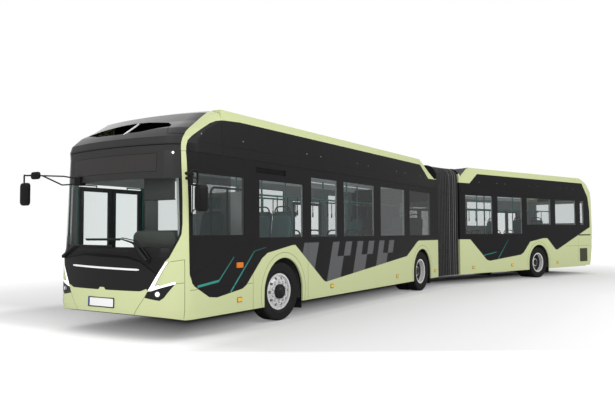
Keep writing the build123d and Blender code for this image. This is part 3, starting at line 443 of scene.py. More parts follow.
def livery(name, car, inside_trim=False):
    """Paint of one car's panels: green and black, lines, module blocks and panel joints."""
    look = Look(name, specular_ior_level=0.25, coat_weight=0.0, coat_roughness=0.06)
    x, y, z = along(look, car)
    side = abs(y)
    offset = side - x
    if car == "front_car":
        band = (z > broken_line(x, front_band)) & (offset > broken_line(z, pillar_rear))
        stripe = (z > broken_line(x, front_stripe_low)) & (z < broken_line(x, front_stripe_high))
        hood = (z > broken_line(side, hood_low)) & (offset < broken_line(z, pillar_front))
        black = (band & ~stripe) | hood
        lean = x - 0.33 * (1.27 - z)
        blocks = [between(lean, -1.13, -0.64)]
        for s in front_modules:
            blocks += [between(lean, s - 0.25, s), between(lean, s - 0.76, s - 0.5) & (z > 1.0),
                       between(lean, s - 0.5, s) & (z < 1.0)]
        modules = any_of(blocks) & band & (z < 1.275) & (x < -0.3) & (side > 1.2)
        corner_x = 0.833
        joints = [line(x, at) & between(z, skirt_z, window_top) for at in (corner_x, -0.755)]
        joints += [line(x, at) & between(z, cover_z, 3.14) for at in (0.888, -1.03, -3.9, -5.6)]
        joints += [line(z, cover_z) & between(x, -6.9, 2.2), line(z, 0.675) & between(x, corner_x, 2.23),
                   line(z, broken_line(x, front_sweep)) & between(x, corner_x, 2.24),
                   line(x, 2.31) & between(z, 0.30, 1.09)]
        wheels, inside = (-0.02, -6.06), (-7.05, 2.02)
        coats = [(black, gloss_black), (hood, hood_sheen_black), (modules, module_grey)]
    else:
        band = (z > broken_line(x, rear_band)) & (x > broken_line(z, tail_edge))
        black = band & ~((z > broken_line(x, rear_stripe_low)) & (z < broken_line(x, rear_stripe_high)))
        joints = [line(z, cover_z) & between(x, -7.6, -0.9), line(z, 0.97) & between(x, -7.9, -6.3),
                  line(x, -7.13) & between(z, 0.43, 1.30)]
        joints += [line(x, at) & between(z, cover_z, 3.11) for at in (-2.4, -4.6, -6.6)]
        wheels, inside = (-4.745,), (-8.4, -0.90)
        coats = [(black, gloss_black)]
    for wheel in wheels:
        radius = ((x - wheel) ** 2.0 + (z - arch_z) ** 2.0) ** 0.5
        joints.append(line(radius, arch_r) & (z > skirt_z))
    joint = any_of(joints) & (side > 1.1)
    teal = any_of([stroke(x, z, *row) for row in teal_lines[car]]) & band & (side > 1.2)
    coats += [(teal * (1.0 - 1.3 * (z - 0.70).clamp(0.0, 0.58)), line_teal),
              (joint, look.blend(black, green_joint, joint_dark))]
    if car == "rear_car":
        gap = line(z, 1.33, 0.040) & between(x, -7.95, -7.17) & (side > 1.1)
        grille = between(x, -7.71, -7.215) & between(z, 0.43, 0.88) & (side > 1.2)
        cells = ((x * 95.0).math("SINE") * (z * 95.0).math("SINE")) > -0.2
        coats += [(gap, joint_dark),
                  (grille, look.blend(cells, (0.010, 0.011, 0.006), (0.075, 0.085, 0.045)))]
    if inside_trim:
        inner = (side < half_width - lining_inset) & between(x, *inside) & (z < 2.62)
        if car == "front_car":
            inner = inner | (within(x, side, z, *nose_end, lining_inset) & (x > 2.0) & (z < 2.57))
        coats.append((inner, look.blend(z > 1.15, (0.010, 0.010, 0.010), trim_grey)))
    colour = look.layers(body_green, *coats)
    look.set("Base Color", colour)
    look.set("Roughness", 0.30 - 0.02 * black + 0.04 * look.speckle(900.0))
    look.bump((1.0 - joint) + 0.02 * look.speckle(260.0), 0.002, 0.6)
    look.masks = (x, y, z, side, offset, black, colour)
    return look


for car, end in ends.items():
    livery(f"{end}_wall_paint", car, inside_trim=True).paint(f"{end}_walls")

# --- Roof covers and dome ------------------------------------------------------------
# Hinged glass-fibre covers along both roof edges and a moulded dome over the windscreen,
# in the body's paint; the dome's top is black under a clear coat heavier towards its crown, painted a little
# lighter than the band as a painted sheen.
for car, end in ends.items():
    livery(f"{end}_cover_paint", car).paint(f"{end}_covers")

# The dome's black is lighter than the band's gloss black: a painted sheen
dome_sheen_black = (0.0300, 0.0290, 0.0295)
dome_paint = livery("dome_paint", "front_car")
x, y, z, side, offset, black, colour = dome_paint.masks
top = (offset < broken_line(z, pillar_front)) | (z > 3.268)
seam = any_of([stroke(side, z, *row, 0.012) for row in (
    ((0.868, 2.960), (0.925, 2.889)), ((0.922, 2.892), (0.955, 2.842)), ((0.952, 2.846), (0.998, 2.828)),
    ((0.992, 2.830), (1.200, 2.822)))]) & (x > 1.9) & top
lower_seam = line(z, 2.672, 0.012) & (x > 2.0) & top
# The inside of the dome's slot is painted near black, a painted shade in the recess; the seams are dark
# joints
inside_slot = between(z, 2.86, 3.225) & between(x, 1.5, 1.70) & (side < 1.05)
dome_paint.set("Base Color", dome_paint.layers(
    colour, (top, dome_sheen_black), (inside_slot | seam | lower_seam, (0.003, 0.003, 0.003))))
dome_paint.rough(0.30, 0.04, 400.0)
dome_paint.set("Coat Weight", 0.85 * (top & ~(seam | lower_seam)) * ((z - 2.80) / 0.30).clamp(0.10, 1.0))
dome_paint.set("Coat Roughness", 0.20)
dome_paint.bump((1.0 - seam) + 0.02 * dome_paint.speckle(260.0), 0.004, 0.6)
dome_paint.paint("dome")

# --- Nose ----------------------------------------------------------------------------
# Moulded bumper and hinged hood below the windscreen. A groove round the hood's top lets
# air in; a plain bright strip and a bare number plate are clipped on.
def face_x(y, z):
    """Where the nose's outer face stands at a side offset and a height."""
    levels, corner, bow = nose_end
    low = max(level for level in levels if level[0] <= z)
    high = min(level for level in levels if level[0] > z)
    tip = low[1] + (high[1] - low[1]) * (z - low[0]) / (high[0] - low[0])
    middle = half_width - corner
    if abs(y) < bow * middle / (bow - corner):
        return tip - bow + math.sqrt(bow ** 2 - y ** 2)
    return (tip - bow + math.sqrt((bow - corner) ** 2 - middle ** 2)
            + math.sqrt(max(0.0, corner ** 2 - (abs(y) - middle) ** 2)))


zenith = Vector((0, 0, 1))


def circle(centre, across, upward, radius, count=12):
    return [centre + across * (radius * math.cos(2 * math.pi * i / count))
            + upward * (radius * math.sin(2 * math.pi * i / count)) for i in range(count)]


def tube(shape, path, radius, count=12):
    """Round rod through points, its radius even or given for each point."""
    path = [Vector(p) for p in path]
    rings, across = [], None
    for i, point in enumerate(path):
        heading = (path[min(i + 1, len(path) - 1)] - path[max(i - 1, 0)]).normalized()
        if across is None:
            across = heading.orthogonal().normalized()
        across = (across - heading * across.dot(heading)).normalized()
        rings.append(circle(point, across, heading.cross(across),
                            radius[i] if isinstance(radius, (tuple, list)) else radius, count))
    return shape.rings(rings)


def rounded(centre, across, upward, width, tall, corner, steps=5):
    """Ring in the shape of a rounded rectangle."""
    ring = []
    for turn, (sx, sz) in enumerate(((1, 1), (-1, 1), (-1, -1), (1, -1))):
        for i in range(steps + 1):
            angle = math.pi / 2 * (turn + i / steps)
            ring.append(centre
                        + across * (sx * (width / 2 - corner) + corner * math.cos(angle))
                        + upward * (sz * (tall / 2 - corner) + corner * math.sin(angle)))
    return ring


def slab(shape, centre, across, upward, width, tall, thick, corner, edge=0.004):
    """Rounded plate with softened edges; it stands up from its centre by its thickness."""
    centre, across, upward = Vector(centre), Vector(across).normalized(), Vector(upward).normalized()
    out = across.cross(upward)
    return shape.rings([rounded(centre + out * lift, across, upward, width - 2 * pull, tall - 2 * pull,
                                max(corner - pull, 0.001))
                        for lift, pull in ((0.0, 0.0), (thick - edge, 0.0), (thick - edge * 0.3, edge * 0.3),
                                           (thick, edge))])


nose_paint = livery("nose_paint", "front_car")
x, y, z, side, offset, black, colour = nose_paint.masks
groove_z = broken_line(y, ((-1.20, 0.92), (-1.059, 0.984), (-0.898, 1.097), (-0.456, 1.153), (0.035, 1.143),
                           (0.473, 1.124), (0.694, 1.066), (0.959, 0.900), (1.05, 0.80)))
groove = (abs(z - groove_z) < (0.022 - 0.012 * side.ramp(0.0, 0.9))) & black & (side < 1.12)
above = (z > groove_z) & black
bumper_joint = any_of([stroke(side, z, *row, 0.007) for row in (
    ((0.767, 0.58), (0.587, 0.34)), ((1.119, 1.067), (1.24, 1.093)),
    ((1.174, 0.772), (1.24, 0.781)))]) & (x > 2.2)
# Above the groove the band's black comes back; below it the hood keeps its painted sheen
nose_paint.set("Base Color", nose_paint.layers(
    colour, (above, gloss_black), (groove, joint_dark), (bumper_joint, green_joint),
    (within(x, side, z, *nose_end, lining_inset), trim_grey)))
nose_paint.bump((1.0 - groove) - 0.4 * bumper_joint + 0.02 * nose_paint.speckle(260.0), 0.004, 0.7)
nose_paint.paint("nose")

bright_look = Look("bright_strip", (0.88, 0.88, 0.88), metallic=0.1).rough(0.22, 0.08, 300.0)
strip_rings = []
for step in range(29):
    y_at, z_at = -0.72 + 1.40 * step / 28, 0.9885 - 0.033 * step / 28
    taper = 0.5 if step in (0, 28) else 1.0
    at = face_x(y_at, z_at)
    strip_rings.append([Vector((at + lift, y_at, z_at + rise * taper)) for lift, rise in (
        (-0.001, -0.014), (0.005, -0.013), (0.008, 0.0), (0.005, 0.013), (-0.001, 0.014))])
Shape().rings(strip_rings).object("hood_strip", bright_look, "front_car", slot="polished_alloy")

slot_bar = Shape()
tube(slot_bar, ((2.038, 0.061, 3.108), (2.148, 0.090, 3.040), (2.418, 0.166, 2.886), (2.446, 0.174, 2.868)),
     0.013, 8)
slot_bar.object("dome_slot_bar", bright_look, "front_car", slot="polished_alloy")
marker_look = Look("roof_marker_lens", (0.80, 0.80, 0.80), coat_weight=0.8, emission_strength=1.0,
                   emission_color=(1.0, 0.99, 0.96, 1.0)).rough(0.12, 0.05, 200.0)
marker_out = Vector((0.838, 0.545, 0.0))
marker_at = Vector((face_x(1.093, 2.556), 1.093, 2.556))
Shape().rings([circle(marker_at + marker_out * lift, Vector((-0.545, 0.838, 0)), zenith, radius, 20)
               for lift, radius in ((-0.006, 0.017), (0.002, 0.017), (0.005, 0.014), (0.007, 0.006))]
              ).object("screen_marker_lamp", marker_look, "front_car", slot="lamp_clear")

plate_white = Look("plate_enamel", roughness=0.35)
x, y, z = plate_white.place()
plate_white.mottle(y < -0.245, (0.80, 0.80, 0.79), (0.02, 0.05, 0.35))
plate_black = Look("plate_holder", (0.012, 0.012, 0.013)).rough(0.45, 0.1, 500.0)
plate_tilt = Vector((-0.02, 0.0, 1.0))
holder = Shape()
slab(holder, (2.652, -0.0175, 0.487), (0, 1, 0), plate_tilt, 0.545, 0.142, 0.018, 0.012)
holder.object("plate_holder_front", plate_black, "front_car", slot="black_plastic")
plate = Shape()
slab(plate, (2.668, -0.0175, 0.489), (0, 1, 0), plate_tilt, 0.520, 0.113, 0.005, 0.008, 0.002)
plate.object("plate_front", plate_white, "front_car", slot="body_paint")

# --- Headlamps -----------------------------------------------------------------------
# One clear polycarbonate cover a side over a dark housing: a bright V-shaped light guide
# above, and a round projector in the lower lens.
lamp_look = Look("headlamp_cover", specular_ior_level=0.4, coat_weight=0.6, emission_strength=0.75)
x, y, z = lamp_look.place()
side = abs(y)
guide = z > broken_line(side, ((0.760, 0.636), (0.823, 0.670), (0.874, 0.674), (1.178, 0.768)))
wedge = ((z > broken_line(side, ((0.925, 0.742), (1.178, 0.803))))
         & (side > broken_line(z, ((0.742, 0.925), (1.058, 1.096)))))
wedge_inner = ((z > broken_line(side, ((0.925, 0.750), (1.178, 0.811))))
               & (side > broken_line(z, ((0.742, 0.934), (1.058, 1.105)))))
beam = ((side - 0.973) ** 2.0 + (z - 0.633) ** 2.0) ** 0.5
lit = (guide | (beam < 0.034)) & ~wedge
lamp_look.set("Base Color", lamp_look.layers(
    (0.010, 0.010, 0.011), (guide, (0.85, 0.86, 0.86)), (wedge, (0.10, 0.11, 0.06)),
    (wedge_inner, body_green)))
lamp_look.set("Emission Color", lamp_look.blend(lit, no_light, white))
lamp_look.set("Roughness", 0.10 + 0.25 * guide)
lamp_look.paint("headlamps")
lens_look = Look("projector_lens", (0.75, 0.77, 0.78), coat_weight=1.0, emission_strength=0.6,
                 emission_color=(1.0, 1.0, 1.0, 1.0)).rough(0.04, 0.03, 80.0)
ring_look = Look("projector_ring", (0.25, 0.25, 0.26), metallic=1.0).rough(0.25, 0.1, 200.0)
for hand, sign in (("left", 1), ("right", -1)):
    at = Vector((face_x(0.973, 0.633), sign * 0.973, 0.633))
    out = Vector((0.80, sign * 0.60, 0.0))
    across = Vector((-out.y, out.x, 0.0)).normalized()
    lens, ring = Shape(), Shape()
    lens.rings([circle(at + out * lift, across, zenith, radius, 24) for lift, radius in (
        (-0.008, 0.032), (0.004, 0.032), (0.011, 0.026), (0.015, 0.016), (0.017, 0.003))])
    ring.rings([circle(at + out * lift, across, zenith, radius, 24) for lift, radius in (
        (-0.008, 0.034), (0.006, 0.034), (0.008, 0.037), (0.006, 0.041), (-0.008, 0.044))], around=True)
    lens.object(f"projector_lens_{hand}", lens_look, "front_car", slot="lamp_clear")
    ring.object(f"projector_ring_{hand}", ring_look, "front_car", slot="lamp_clear")

# --- Glass ---------------------------------------------------------------------------
# Toughened side panes bonded flush into the walls, and a laminated windscreen whose edge
# and destination box are masked black; its wings are painted with the pillar.
def glaze(look, clear, tint):
    """Let the clear part of a look be seen through, mirror-like at a slant."""
    through = look.node("ShaderNodeBsdfTransparent", color=(*tint, 1.0))
    gloss = look.node("ShaderNodeBsdfGlossy", roughness=0.03, color=(0.55, 0.55, 0.55, 1.0))
    slant = look.out(look.node("ShaderNodeLayerWeight", blend=0.5), "Facing")
    look.surface(look.mix(clear, look.shader, look.mix(0.015 + 0.75 * slant ** 5.0, through, gloss)))
    look.material.use_transparent_shadow = True


pane_edge = 0.012
# Panes of each side along their car, as (aft, fore, low, high)
front_panes = ((1.050, 2.200, 1.410, 2.300), (-0.620, 0.680, 1.365, 2.300),
               (-1.830, -0.860, 1.365, 2.450), (-3.420, -2.050, 1.365, 2.450),
               (-5.000, -3.700, 1.365, 2.450), (-6.620, -5.280, 1.365, 2.450))
front_right_panes = ((-0.650, 0.420, 1.365, 2.450), (-1.950, -0.900, 1.365, 2.450),
                     (-3.670, -2.200, 1.365, 2.450), (-6.620, -5.700, 1.365, 2.450))
rear_panes = ((-2.350, -1.065, 1.375, 2.500), (-3.860, -2.575, 1.375, 2.500), (-5.475, -4.085, 1.655, 2.500),
              (-7.010, -5.715, 1.655, 2.500), (-7.550, -7.275, 1.655, 2.500))
rear_right_panes = ((-4.200, -2.900, 1.375, 2.500), (-5.850, -4.400, 1.655, 2.500))
for car, left, right_side, node in (("front_car", front_panes, front_right_panes, "front_glass"),
                                    ("rear_car", rear_panes, rear_right_panes, "rear_glass")):
    pane_look = Look(f"{node}_pane", (0.008, 0.008, 0.008), roughness=0.2, emission_strength=1.0)
    x, y, z = along(pane_look, car)
    rims = []
    for keep, panes in (((y > 0.0), left), ((y < 0.0), right_side)):
        for x0, x1, z0, z1 in panes:
            rims.append(keep & between(x, x0 + pane_edge, x1 - pane_edge)
                        & between(z, z0 + pane_edge, z1 - pane_edge))
    if car == "rear_car":
        rims.append((x < -7.8) & (abs(y) < 1.1) & (z > 1.3))
    seen_pane = any_of(rims)
    clear_share = 0.93 - 0.02 * pane_look.speckle(3.0)
    # The panes give off a faint painted glow of their own; the smoked panes' and the driver's glow is darker
    pane_painted_glow = (0.230, 0.240, 0.240)
    if car == "front_car":
        # The rearmost panes on the left are smoked, and the driver's sash is darker
        last, driver = (x < -5.1) & (y > 0.0), between(x, 1.375, 2.12) & (y > 0.0)
        clear_share = clear_share - 0.15 * ((x < -3.6) & (y > 0.0)) - 0.30 * last - 0.36 * driver
        pane_painted_glow = pane_look.layers(pane_painted_glow, (last, (0.040, 0.040, 0.041)), (driver, (0.028, 0.034, 0.034)))
    pane_look.set("Emission Color", pane_look.blend(seen_pane, no_light, pane_painted_glow))
    glaze(pane_look, seen_pane & clear_share, (0.930, 0.945, 0.942))
    pane_look.paint(node)

screen_look = livery("windscreen_paint", "front_car")
x, y, z, side, offset, black, colour = screen_look.masks
screen_edge = broken_line(z, [(at, value - 0.045) for at, value in pillar_front])
sign_panel = between(z, 2.30, 2.56) & between(y, -0.90, 0.87)
sign_edge = sign_panel & ~(between(z, 2.308, 2.552) & between(y, -0.892, 0.862))
screen_look.set("Base Color", screen_look.layers(
    colour, ((z > 2.205) & black, (0.034, 0.033, 0.033)), (sign_panel & black, (0.039, 0.037, 0.036)),
    (sign_edge & black, (0.0150, 0.0145, 0.0145)),
    (within(x, side, z, *nose_end, 0.006), (0.020, 0.020, 0.021))))
screen_look.rough(0.14, 0.02, 40.0)
clear_zone = (z > 1.262) & (z < 2.205) & (offset < screen_edge) & (side < 1.30)
glaze(screen_look, clear_zone, (0.93, 0.945, 0.94))
screen_look.paint("windscreen")

# --- Tail ----------------------------------------------------------------------------
# Moulded tail over the motor bay, green along its edges and black round the rear window,
# with a hinged flap, a bumper joint and a bare plate.
tail_paint = livery("tail_paint", "rear_car")
x, y, z, side, offset, black, colour = tail_paint.masks
behind = x < -7.93
window_mask = behind & (side < 1.07) & between(z, 1.36, 3.02) & (side < 1.30 - 0.18 * z.clamp(1.36, 3.0))
flap = behind & any_of([line(side, 0.86) & between(z, 0.62, 1.30), line(z, 1.30) & (side < 0.86),
                        line(z, 0.62)])
vents = behind & (side < 0.62) & between(z, 0.86, 1.14) & ((z * 150.0).math("SINE") > 0.1)
tail_inside = within(0.0 - x, side, z, *tail_end, lining_inset) & (z < 2.57)
tail_paint.set("Base Color", tail_paint.layers(
    colour, (window_mask, gloss_black), (flap, green_joint), (vents, (0.02, 0.022, 0.012)),
    (tail_inside, trim_grey)))
tail_paint.bump((1.0 - flap) - 0.6 * vents + 0.02 * tail_paint.speckle(260.0), 0.004, 0.7)
tail_paint.paint("tail")
tail_lens = Look("tail_lamp_lens", roughness=0.12, coat_weight=0.8)
x, y, z = tail_lens.place()
tail_lens.set("Base Color", tail_lens.layers(
    (0.42, 0.008, 0.008), (between(z, 0.98, 1.08), (0.75, 0.30, 0.02)),
    (between(z, 0.88, 0.97), (0.60, 0.60, 0.60))))
tail_lens.bump(((y * 420.0).math("SINE") * (z * 420.0).math("SINE")), 0.0008, 0.5)
tail_lens.paint("tail_lamps")

# --- Side lamps ----------------------------------------------------------------------
# Small amber marker and turn lamps snapped into the side panels, and the round cover
# screws of the roof panels.
marker_lens = Look("amber_lens", (0.80, 0.47, 0.05), roughness=0.15, coat_weight=0.7, emission_strength=0.12,
                   emission_color=(1.0, 0.60, 0.08, 1.0))
turn_lens = Look("turn_lens", (0.62, 0.16, 0.01), roughness=0.15, coat_weight=0.7, emission_strength=0.10,
                 emission_color=(1.0, 0.30, 0.02, 1.0))
for lens_look, pitch in ((marker_lens, 600.0), (turn_lens, 500.0)):
    lens_look.bump((lens_look.place()[0] * pitch).math("SINE"), 0.0008, 0.6)
lamp_base = Look("lamp_base", (0.22, 0.20, 0.08)).rough(0.45, 0.1, 500.0)
marker_z, door_half = 0.452, 0.80
for car, places, doors in (("front_car", (1.17, -1.59, -4.54, -6.89), (1.45, -4.70)),
                           ("rear_car", (-1.41, -3.275, -5.8), (-2.0, -6.75))):
    lenses, bases = Shape(), Shape()
    for sign in (1, -1):
        # across runs so that the plate stands out from its own side
        across = way((-sign, 0, 0), car)
        for x_at in places:
            if sign < 0 and any(abs(x_at - door) < door_half for door in doors):
                continue
            base_at = on_car((x_at, sign * (half_width - 0.001), marker_z), car)
            lens_at = on_car((x_at, sign * (half_width + 0.005), marker_z), car)
            slab(bases, base_at, across, zenith, 0.118, 0.078, 0.007, 0.014)
            slab(lenses, lens_at, across, zenith, 0.094, 0.056, 0.014, 0.014, 0.006)
    lenses.object(f"{car}_markers", marker_lens, car, slot="lamp_clear")
    bases.object(f"{car}_marker_bases", lamp_base, car, slot="black_plastic")
turn_lamps = Shape()
slab(turn_lamps, (1.17, half_width - 0.001, 0.97), (-1, 0, 0), zenith, 0.150, 0.082, 0.020, 0.016, 0.006)
turn_lamps.object("front_turn_lamps", turn_lens, "front_car", slot="lamp_clear")

screw_look = Look("cover_screw", (0.45, 0.45, 0.45), metallic=0.6).rough(0.35, 0.1, 300.0)
cover_foot, cover_lean = 2.58, (half_width - 1.225) / (3.27 - 2.58)
for car, places, z_at in (("front_car", (2.0, 1.06, -0.76, -1.24, -2.67, -3.16, -4.6, -5.07, -6.03), 2.85),
                          ("rear_car", (-1.75, -2.6, -3.0, -4.3, -4.75, -6.1, -6.5, -6.9), 2.88)):
    screws = Shape()
    y_at = half_width - cover_lean * (z_at - cover_foot)
    for sign in (1, -1):
        for x_at in places:
            slab(screws, on_car((x_at, sign * (y_at - 0.001), z_at), car), way((-sign, 0, 0), car), zenith,
                 0.022, 0.022, 0.004, 0.0105, 0.002)
    screws.object(f"{car}_cover_screws", screw_look, car, slot="polished_alloy")

# --- Driver's side window ------------------------------------------------------------
# Black aluminium frames behind the pane: a fixed upright and a sliding sash with rounded
# upper corners.
sash_look = Look("sash_frame", (0.012, 0.012, 0.013)).rough(0.35, 0.1, 500.0)
sash = Shape()
sash_y, sill, sash_top, corner = half_width - 0.022, 1.412, 2.11, 0.09
fore_x, middle_x, aft_x = 1.800, 1.430, 1.075
path = [(fore_x, sash_y, sill), (fore_x, sash_y, sash_top - corner)]
path += [(fore_x - corner + corner * math.cos(a), sash_y, sash_top - corner + corner * math.sin(a))
         for a in (math.pi / 8 * i for i in range(1, 5))]
tube(sash, path + [(aft_x, sash_y, sash_top)], 0.016, 8)
tube(sash, [(middle_x, sash_y, sill), (middle_x, sash_y, sash_top)], 0.016, 8)
tube(sash, [(aft_x, sash_y, sill), (aft_x, sash_y, 2.298)], 0.011, 8)
sash.object("driver_window_sash", sash_look, "front_car", slot="black_plastic")

# --- Roof equipment ------------------------------------------------------------------
# Battery and cooling pods between the covers, of painted sheet metal, with fans let into
# their lids, on a roof of ribbed aluminium sheet; ceiling panels with light lines inside and a faint painted
# glow all over.
for car, end in ends.items():
    node = f"{end}_roof"
    roof_look = Look(f"{node}_panel", emission_strength=1.0)
    x, y, z = along(roof_look, car)
    under, pod = z < 2.66, z > 2.76
    lights = under & line(abs(y), 0.62, 0.14) & ~line(x, -7.1, 0.4)
    panel_joint = under & (abs((x * 2.4).math("SINE")) < 0.012)
    louvres = pod & ((x * 60.0).math("SINE") > 0.6) & (z < 3.15) & (abs(y) > 0.9)
    roof_look.set("Base Color", roof_look.layers(
        (0.060, 0.061, 0.061), (under, (0.46, 0.475, 0.47)), (pod, (0.032, 0.033, 0.034)),
        (panel_joint | louvres, (0.02, 0.02, 0.02))))
    # The whole ceiling gives off a faint painted glow besides its light lines
    roof_look.set("Emission Color", roof_look.layers(
        no_light, (under, (0.070, 0.078, 0.078)), (lights, (0.55, 0.57, 0.57))))
    roof_look.rough(0.5, 0.1, 30.0)
    roof_look.bump((1.0 - panel_joint) - 0.5 * louvres + 0.05 * roof_look.speckle(60.0), 0.003, 0.5)
    roof_look.paint(node)

cheek_look = Look("fairing_cheek", (0.012, 0.012, 0.012)).rough(0.36, 0.08, 400.0)
cheeks = Shape()
cheek_profile = ((-0.886, 2.722), (-0.886, 2.960), (-1.238, 3.260), (-1.330, 3.260), (-1.330, 2.722))
for sign in (1, -1):
    cheeks.rings([[on_car((x_at, sign * y_at, z_at), "rear_car") for x_at, z_at in cheek_profile]
                  for y_at in (1.046, 1.182)])
cheeks.object("rear_fairing_cheeks", cheek_look, "rear_car", smooth=False, slot="roof_paint")

# --- Doors ---------------------------------------------------------------------------
# Aluminium door leaves, powder-coated black, with bonded panes and rubber edges, carried
# by arms on steel posts that turn in the doorway.
leaf_rim, pane_low, pane_high = 0.071, 0.471, 2.134
for car, doors in (("front_car", (("door1", 1.45), ("door2", -4.70))),
                   ("rear_car", (("door3", -2.0), ("door4", -6.75)))):
    for name, middle in doors:
        for end, low, high in (("fore", 0.005, 0.645), ("aft", -0.645, -0.005)):
            leaf_look = Look(f"{name}_{end}_leaf", (0.040, 0.040, 0.041), specular_ior_level=0.3)
            leaf_look.rough(0.30, 0.05, 500.0)
            x, y, z = along(leaf_look, car)
            pane = between(x, middle + low + leaf_rim, middle + high - leaf_rim)
            glaze(leaf_look, pane & between(z, pane_low, pane_high), (0.930, 0.945, 0.942))
            leaf_look.paint(f"{name}_leaf_{end}")
post_look = Look("post_enamel", (0.035, 0.240, 0.215)).rough(0.32, 0.08, 300.0)
for name in ("door1", "door2", "door3", "door4"):
    post_look.paint(f"{name}_post_fore", f"{name}_post_aft")

# --- Floor and lining ----------------------------------------------------------------
# Speckled vinyl welded over plywood, turned up at the walls, with boxes over the wheels.
floor_vinyl = Look("floor_vinyl", roughness=0.7)
chips = floor_vinyl.speckle(700.0, 0.0)
x, y, z = floor_vinyl.place()
floor_vinyl.set("Base Color", floor_vinyl.layers(
    (0.095, 0.100, 0.100), (chips > 0.60, (0.17, 0.18, 0.18)), (z < 0.320, (0.012, 0.012, 0.012))))
floor_vinyl.bump(chips, 0.0004, 0.4)
floor_vinyl.paint("front_floor", "rear_floor")

# --- Driver's place ------------------------------------------------------------------
# Moulded dashboard in grained plastic with an instrument hood and a steering wheel, and a
# partition with a pale face behind the driver.
dash_look = Look("dash_plastic", roughness=0.55)
dash_look.mottle(dash_look.speckle(12.0) * 0.3, (0.078, 0.083, 0.075), (0.12, 0.125, 0.115))
dash_look.bump(dash_look.speckle(700.0), 0.0006, 0.5)
dash_look.paint("dashboard")
hood = Shape()
slab(hood, (2.120, 0.600, 1.345), (0, 1, 0), (0.05, 0, 1.0), 0.860, 0.300, 0.150, 0.110, 0.035)
hood.object("instrument_hood", dash_look, "front_car", slot="dash_plastic")

blind_look = Look("sun_blind", (0.045, 0.046, 0.046)).rough(0.65, 0.1, 600.0)
blind = Shape()
slab(blind, (2.330, 0.775, 2.085), (0, 1, 0), (0, 0, 1), 0.600, 0.330, 0.004, 0.006, 0.001)
tube(blind, ((2.332, 0.470, 1.920), (2.332, 1.080, 1.920)), 0.010, 8)
tube(blind, ((2.332, 0.460, 2.255), (2.332, 1.090, 2.255)), 0.024, 10)
for y_at in (0.465, 1.085):
    tube(blind, ((2.332, y_at, 2.250), (2.332, y_at, 2.590)), 0.008, 6)
blind.object("sun_blind", blind_look, "front_car", slot="dash_plastic")

# --- Poles and rails -----------------------------------------------------------------
# Steel tubes in teal stove enamel, clamped to the ceiling and the floor; webbing straps
# with moulded grips hang from the overhead rails.
rail_look = Look("rail_enamel")
x, y, z = rail_look.place()
partition = between(x, 0.870, 0.920) & (abs(y - 0.68) < 0.56)
rail_look.mottle(partition, (0.030, 0.225, 0.205), (0.40, 0.42, 0.41))
rail_look.rough(0.28, 0.08, 300.0)
rail_look.paint("front_rails", "rear_rails")

strap_look = Look("strap_grip", (0.012, 0.012, 0.013)).rough(0.5, 0.15, 400.0)
clamp_look = Look("pole_clamp", (0.45, 0.46, 0.46), metallic=0.7).rough(0.3, 0.1, 300.0)
rail_z, rail_y = 2.150, 0.300
strap_places = {"front_car": (-1.2, -1.55, -1.9, -2.75, -3.1, -3.45, -4.3, -4.65, -5.0),
                "rear_car": (-1.7, -2.05, -2.4, -3.3, -3.65, -4.4, -4.8, -6.1, -6.5)}
pole_places = {"front_car": ((-0.7, 1), (-2.35, 1), (-3.95, 1), (-5.5, 1),
                             (-0.7, -1), (-2.35, -1), (-3.9, -1), (-5.6, -1)),
               "rear_car": ((-1.3, 1), (-2.9, 1), (-3.95, 1), (-5.6, 1), (-7.0, 1),
                            (-3.0, -1), (-4.1, -1), (-5.7, -1))}
# Sections of a strap's web and of its grip, as (drop, width, thickness, corner)
web = ((-0.024, 0.030, 0.006, 0.0028), (0.0, 0.034, 0.006, 0.0028), (0.20, 0.030, 0.006, 0.0028),
       (0.24, 0.024, 0.006, 0.0028))
grip = ((0.235, 0.020, 0.014, 0.0063), (0.245, 0.034, 0.022, 0.0099), (0.330, 0.038, 0.026, 0.0117),
        (0.345, 0.034, 0.022, 0.0099), (0.350, 0.018, 0.012, 0.0054))
for car in ends:
    straps, clamps = Shape(), Shape()
    across, outward = way((1, 0, 0), car), way((0, 1, 0), car)
    for sign in (1, -1):
        for x_at in strap_places[car]:
            top = on_car((x_at, sign * rail_y, rail_z - 0.005), car)
            for sections, steps in ((web, 2), (grip, 3)):
                straps.rings([rounded(top - zenith * drop, across, outward, wide, thick, corner, steps)
                              for drop, wide, thick, corner in sections])
    for x_at, sign in pole_places[car]:
        base = on_car((x_at, sign * rail_y, 0.0), car)
        for z_at, radius, tall in ((0.3305, 0.036, 0.020), (2.618, 0.036, 0.020),
                                   (rail_z - 0.030, 0.026, 0.060)):
            clamps.rings([circle(base + zenith * (z_at + lift), Vector((1, 0, 0)), Vector((0, 1, 0)), r, 14)
                          for lift, r in ((0.0, radius - 0.003), (0.003, radius),
                                          (tall - 0.003, radius), (tall, radius - 0.003))])
    straps.object(f"{car}_straps", strap_look, car, slot="black_plastic")
    clamps.object(f"{car}_clamps", clamp_look, car, slot="rail_paint")

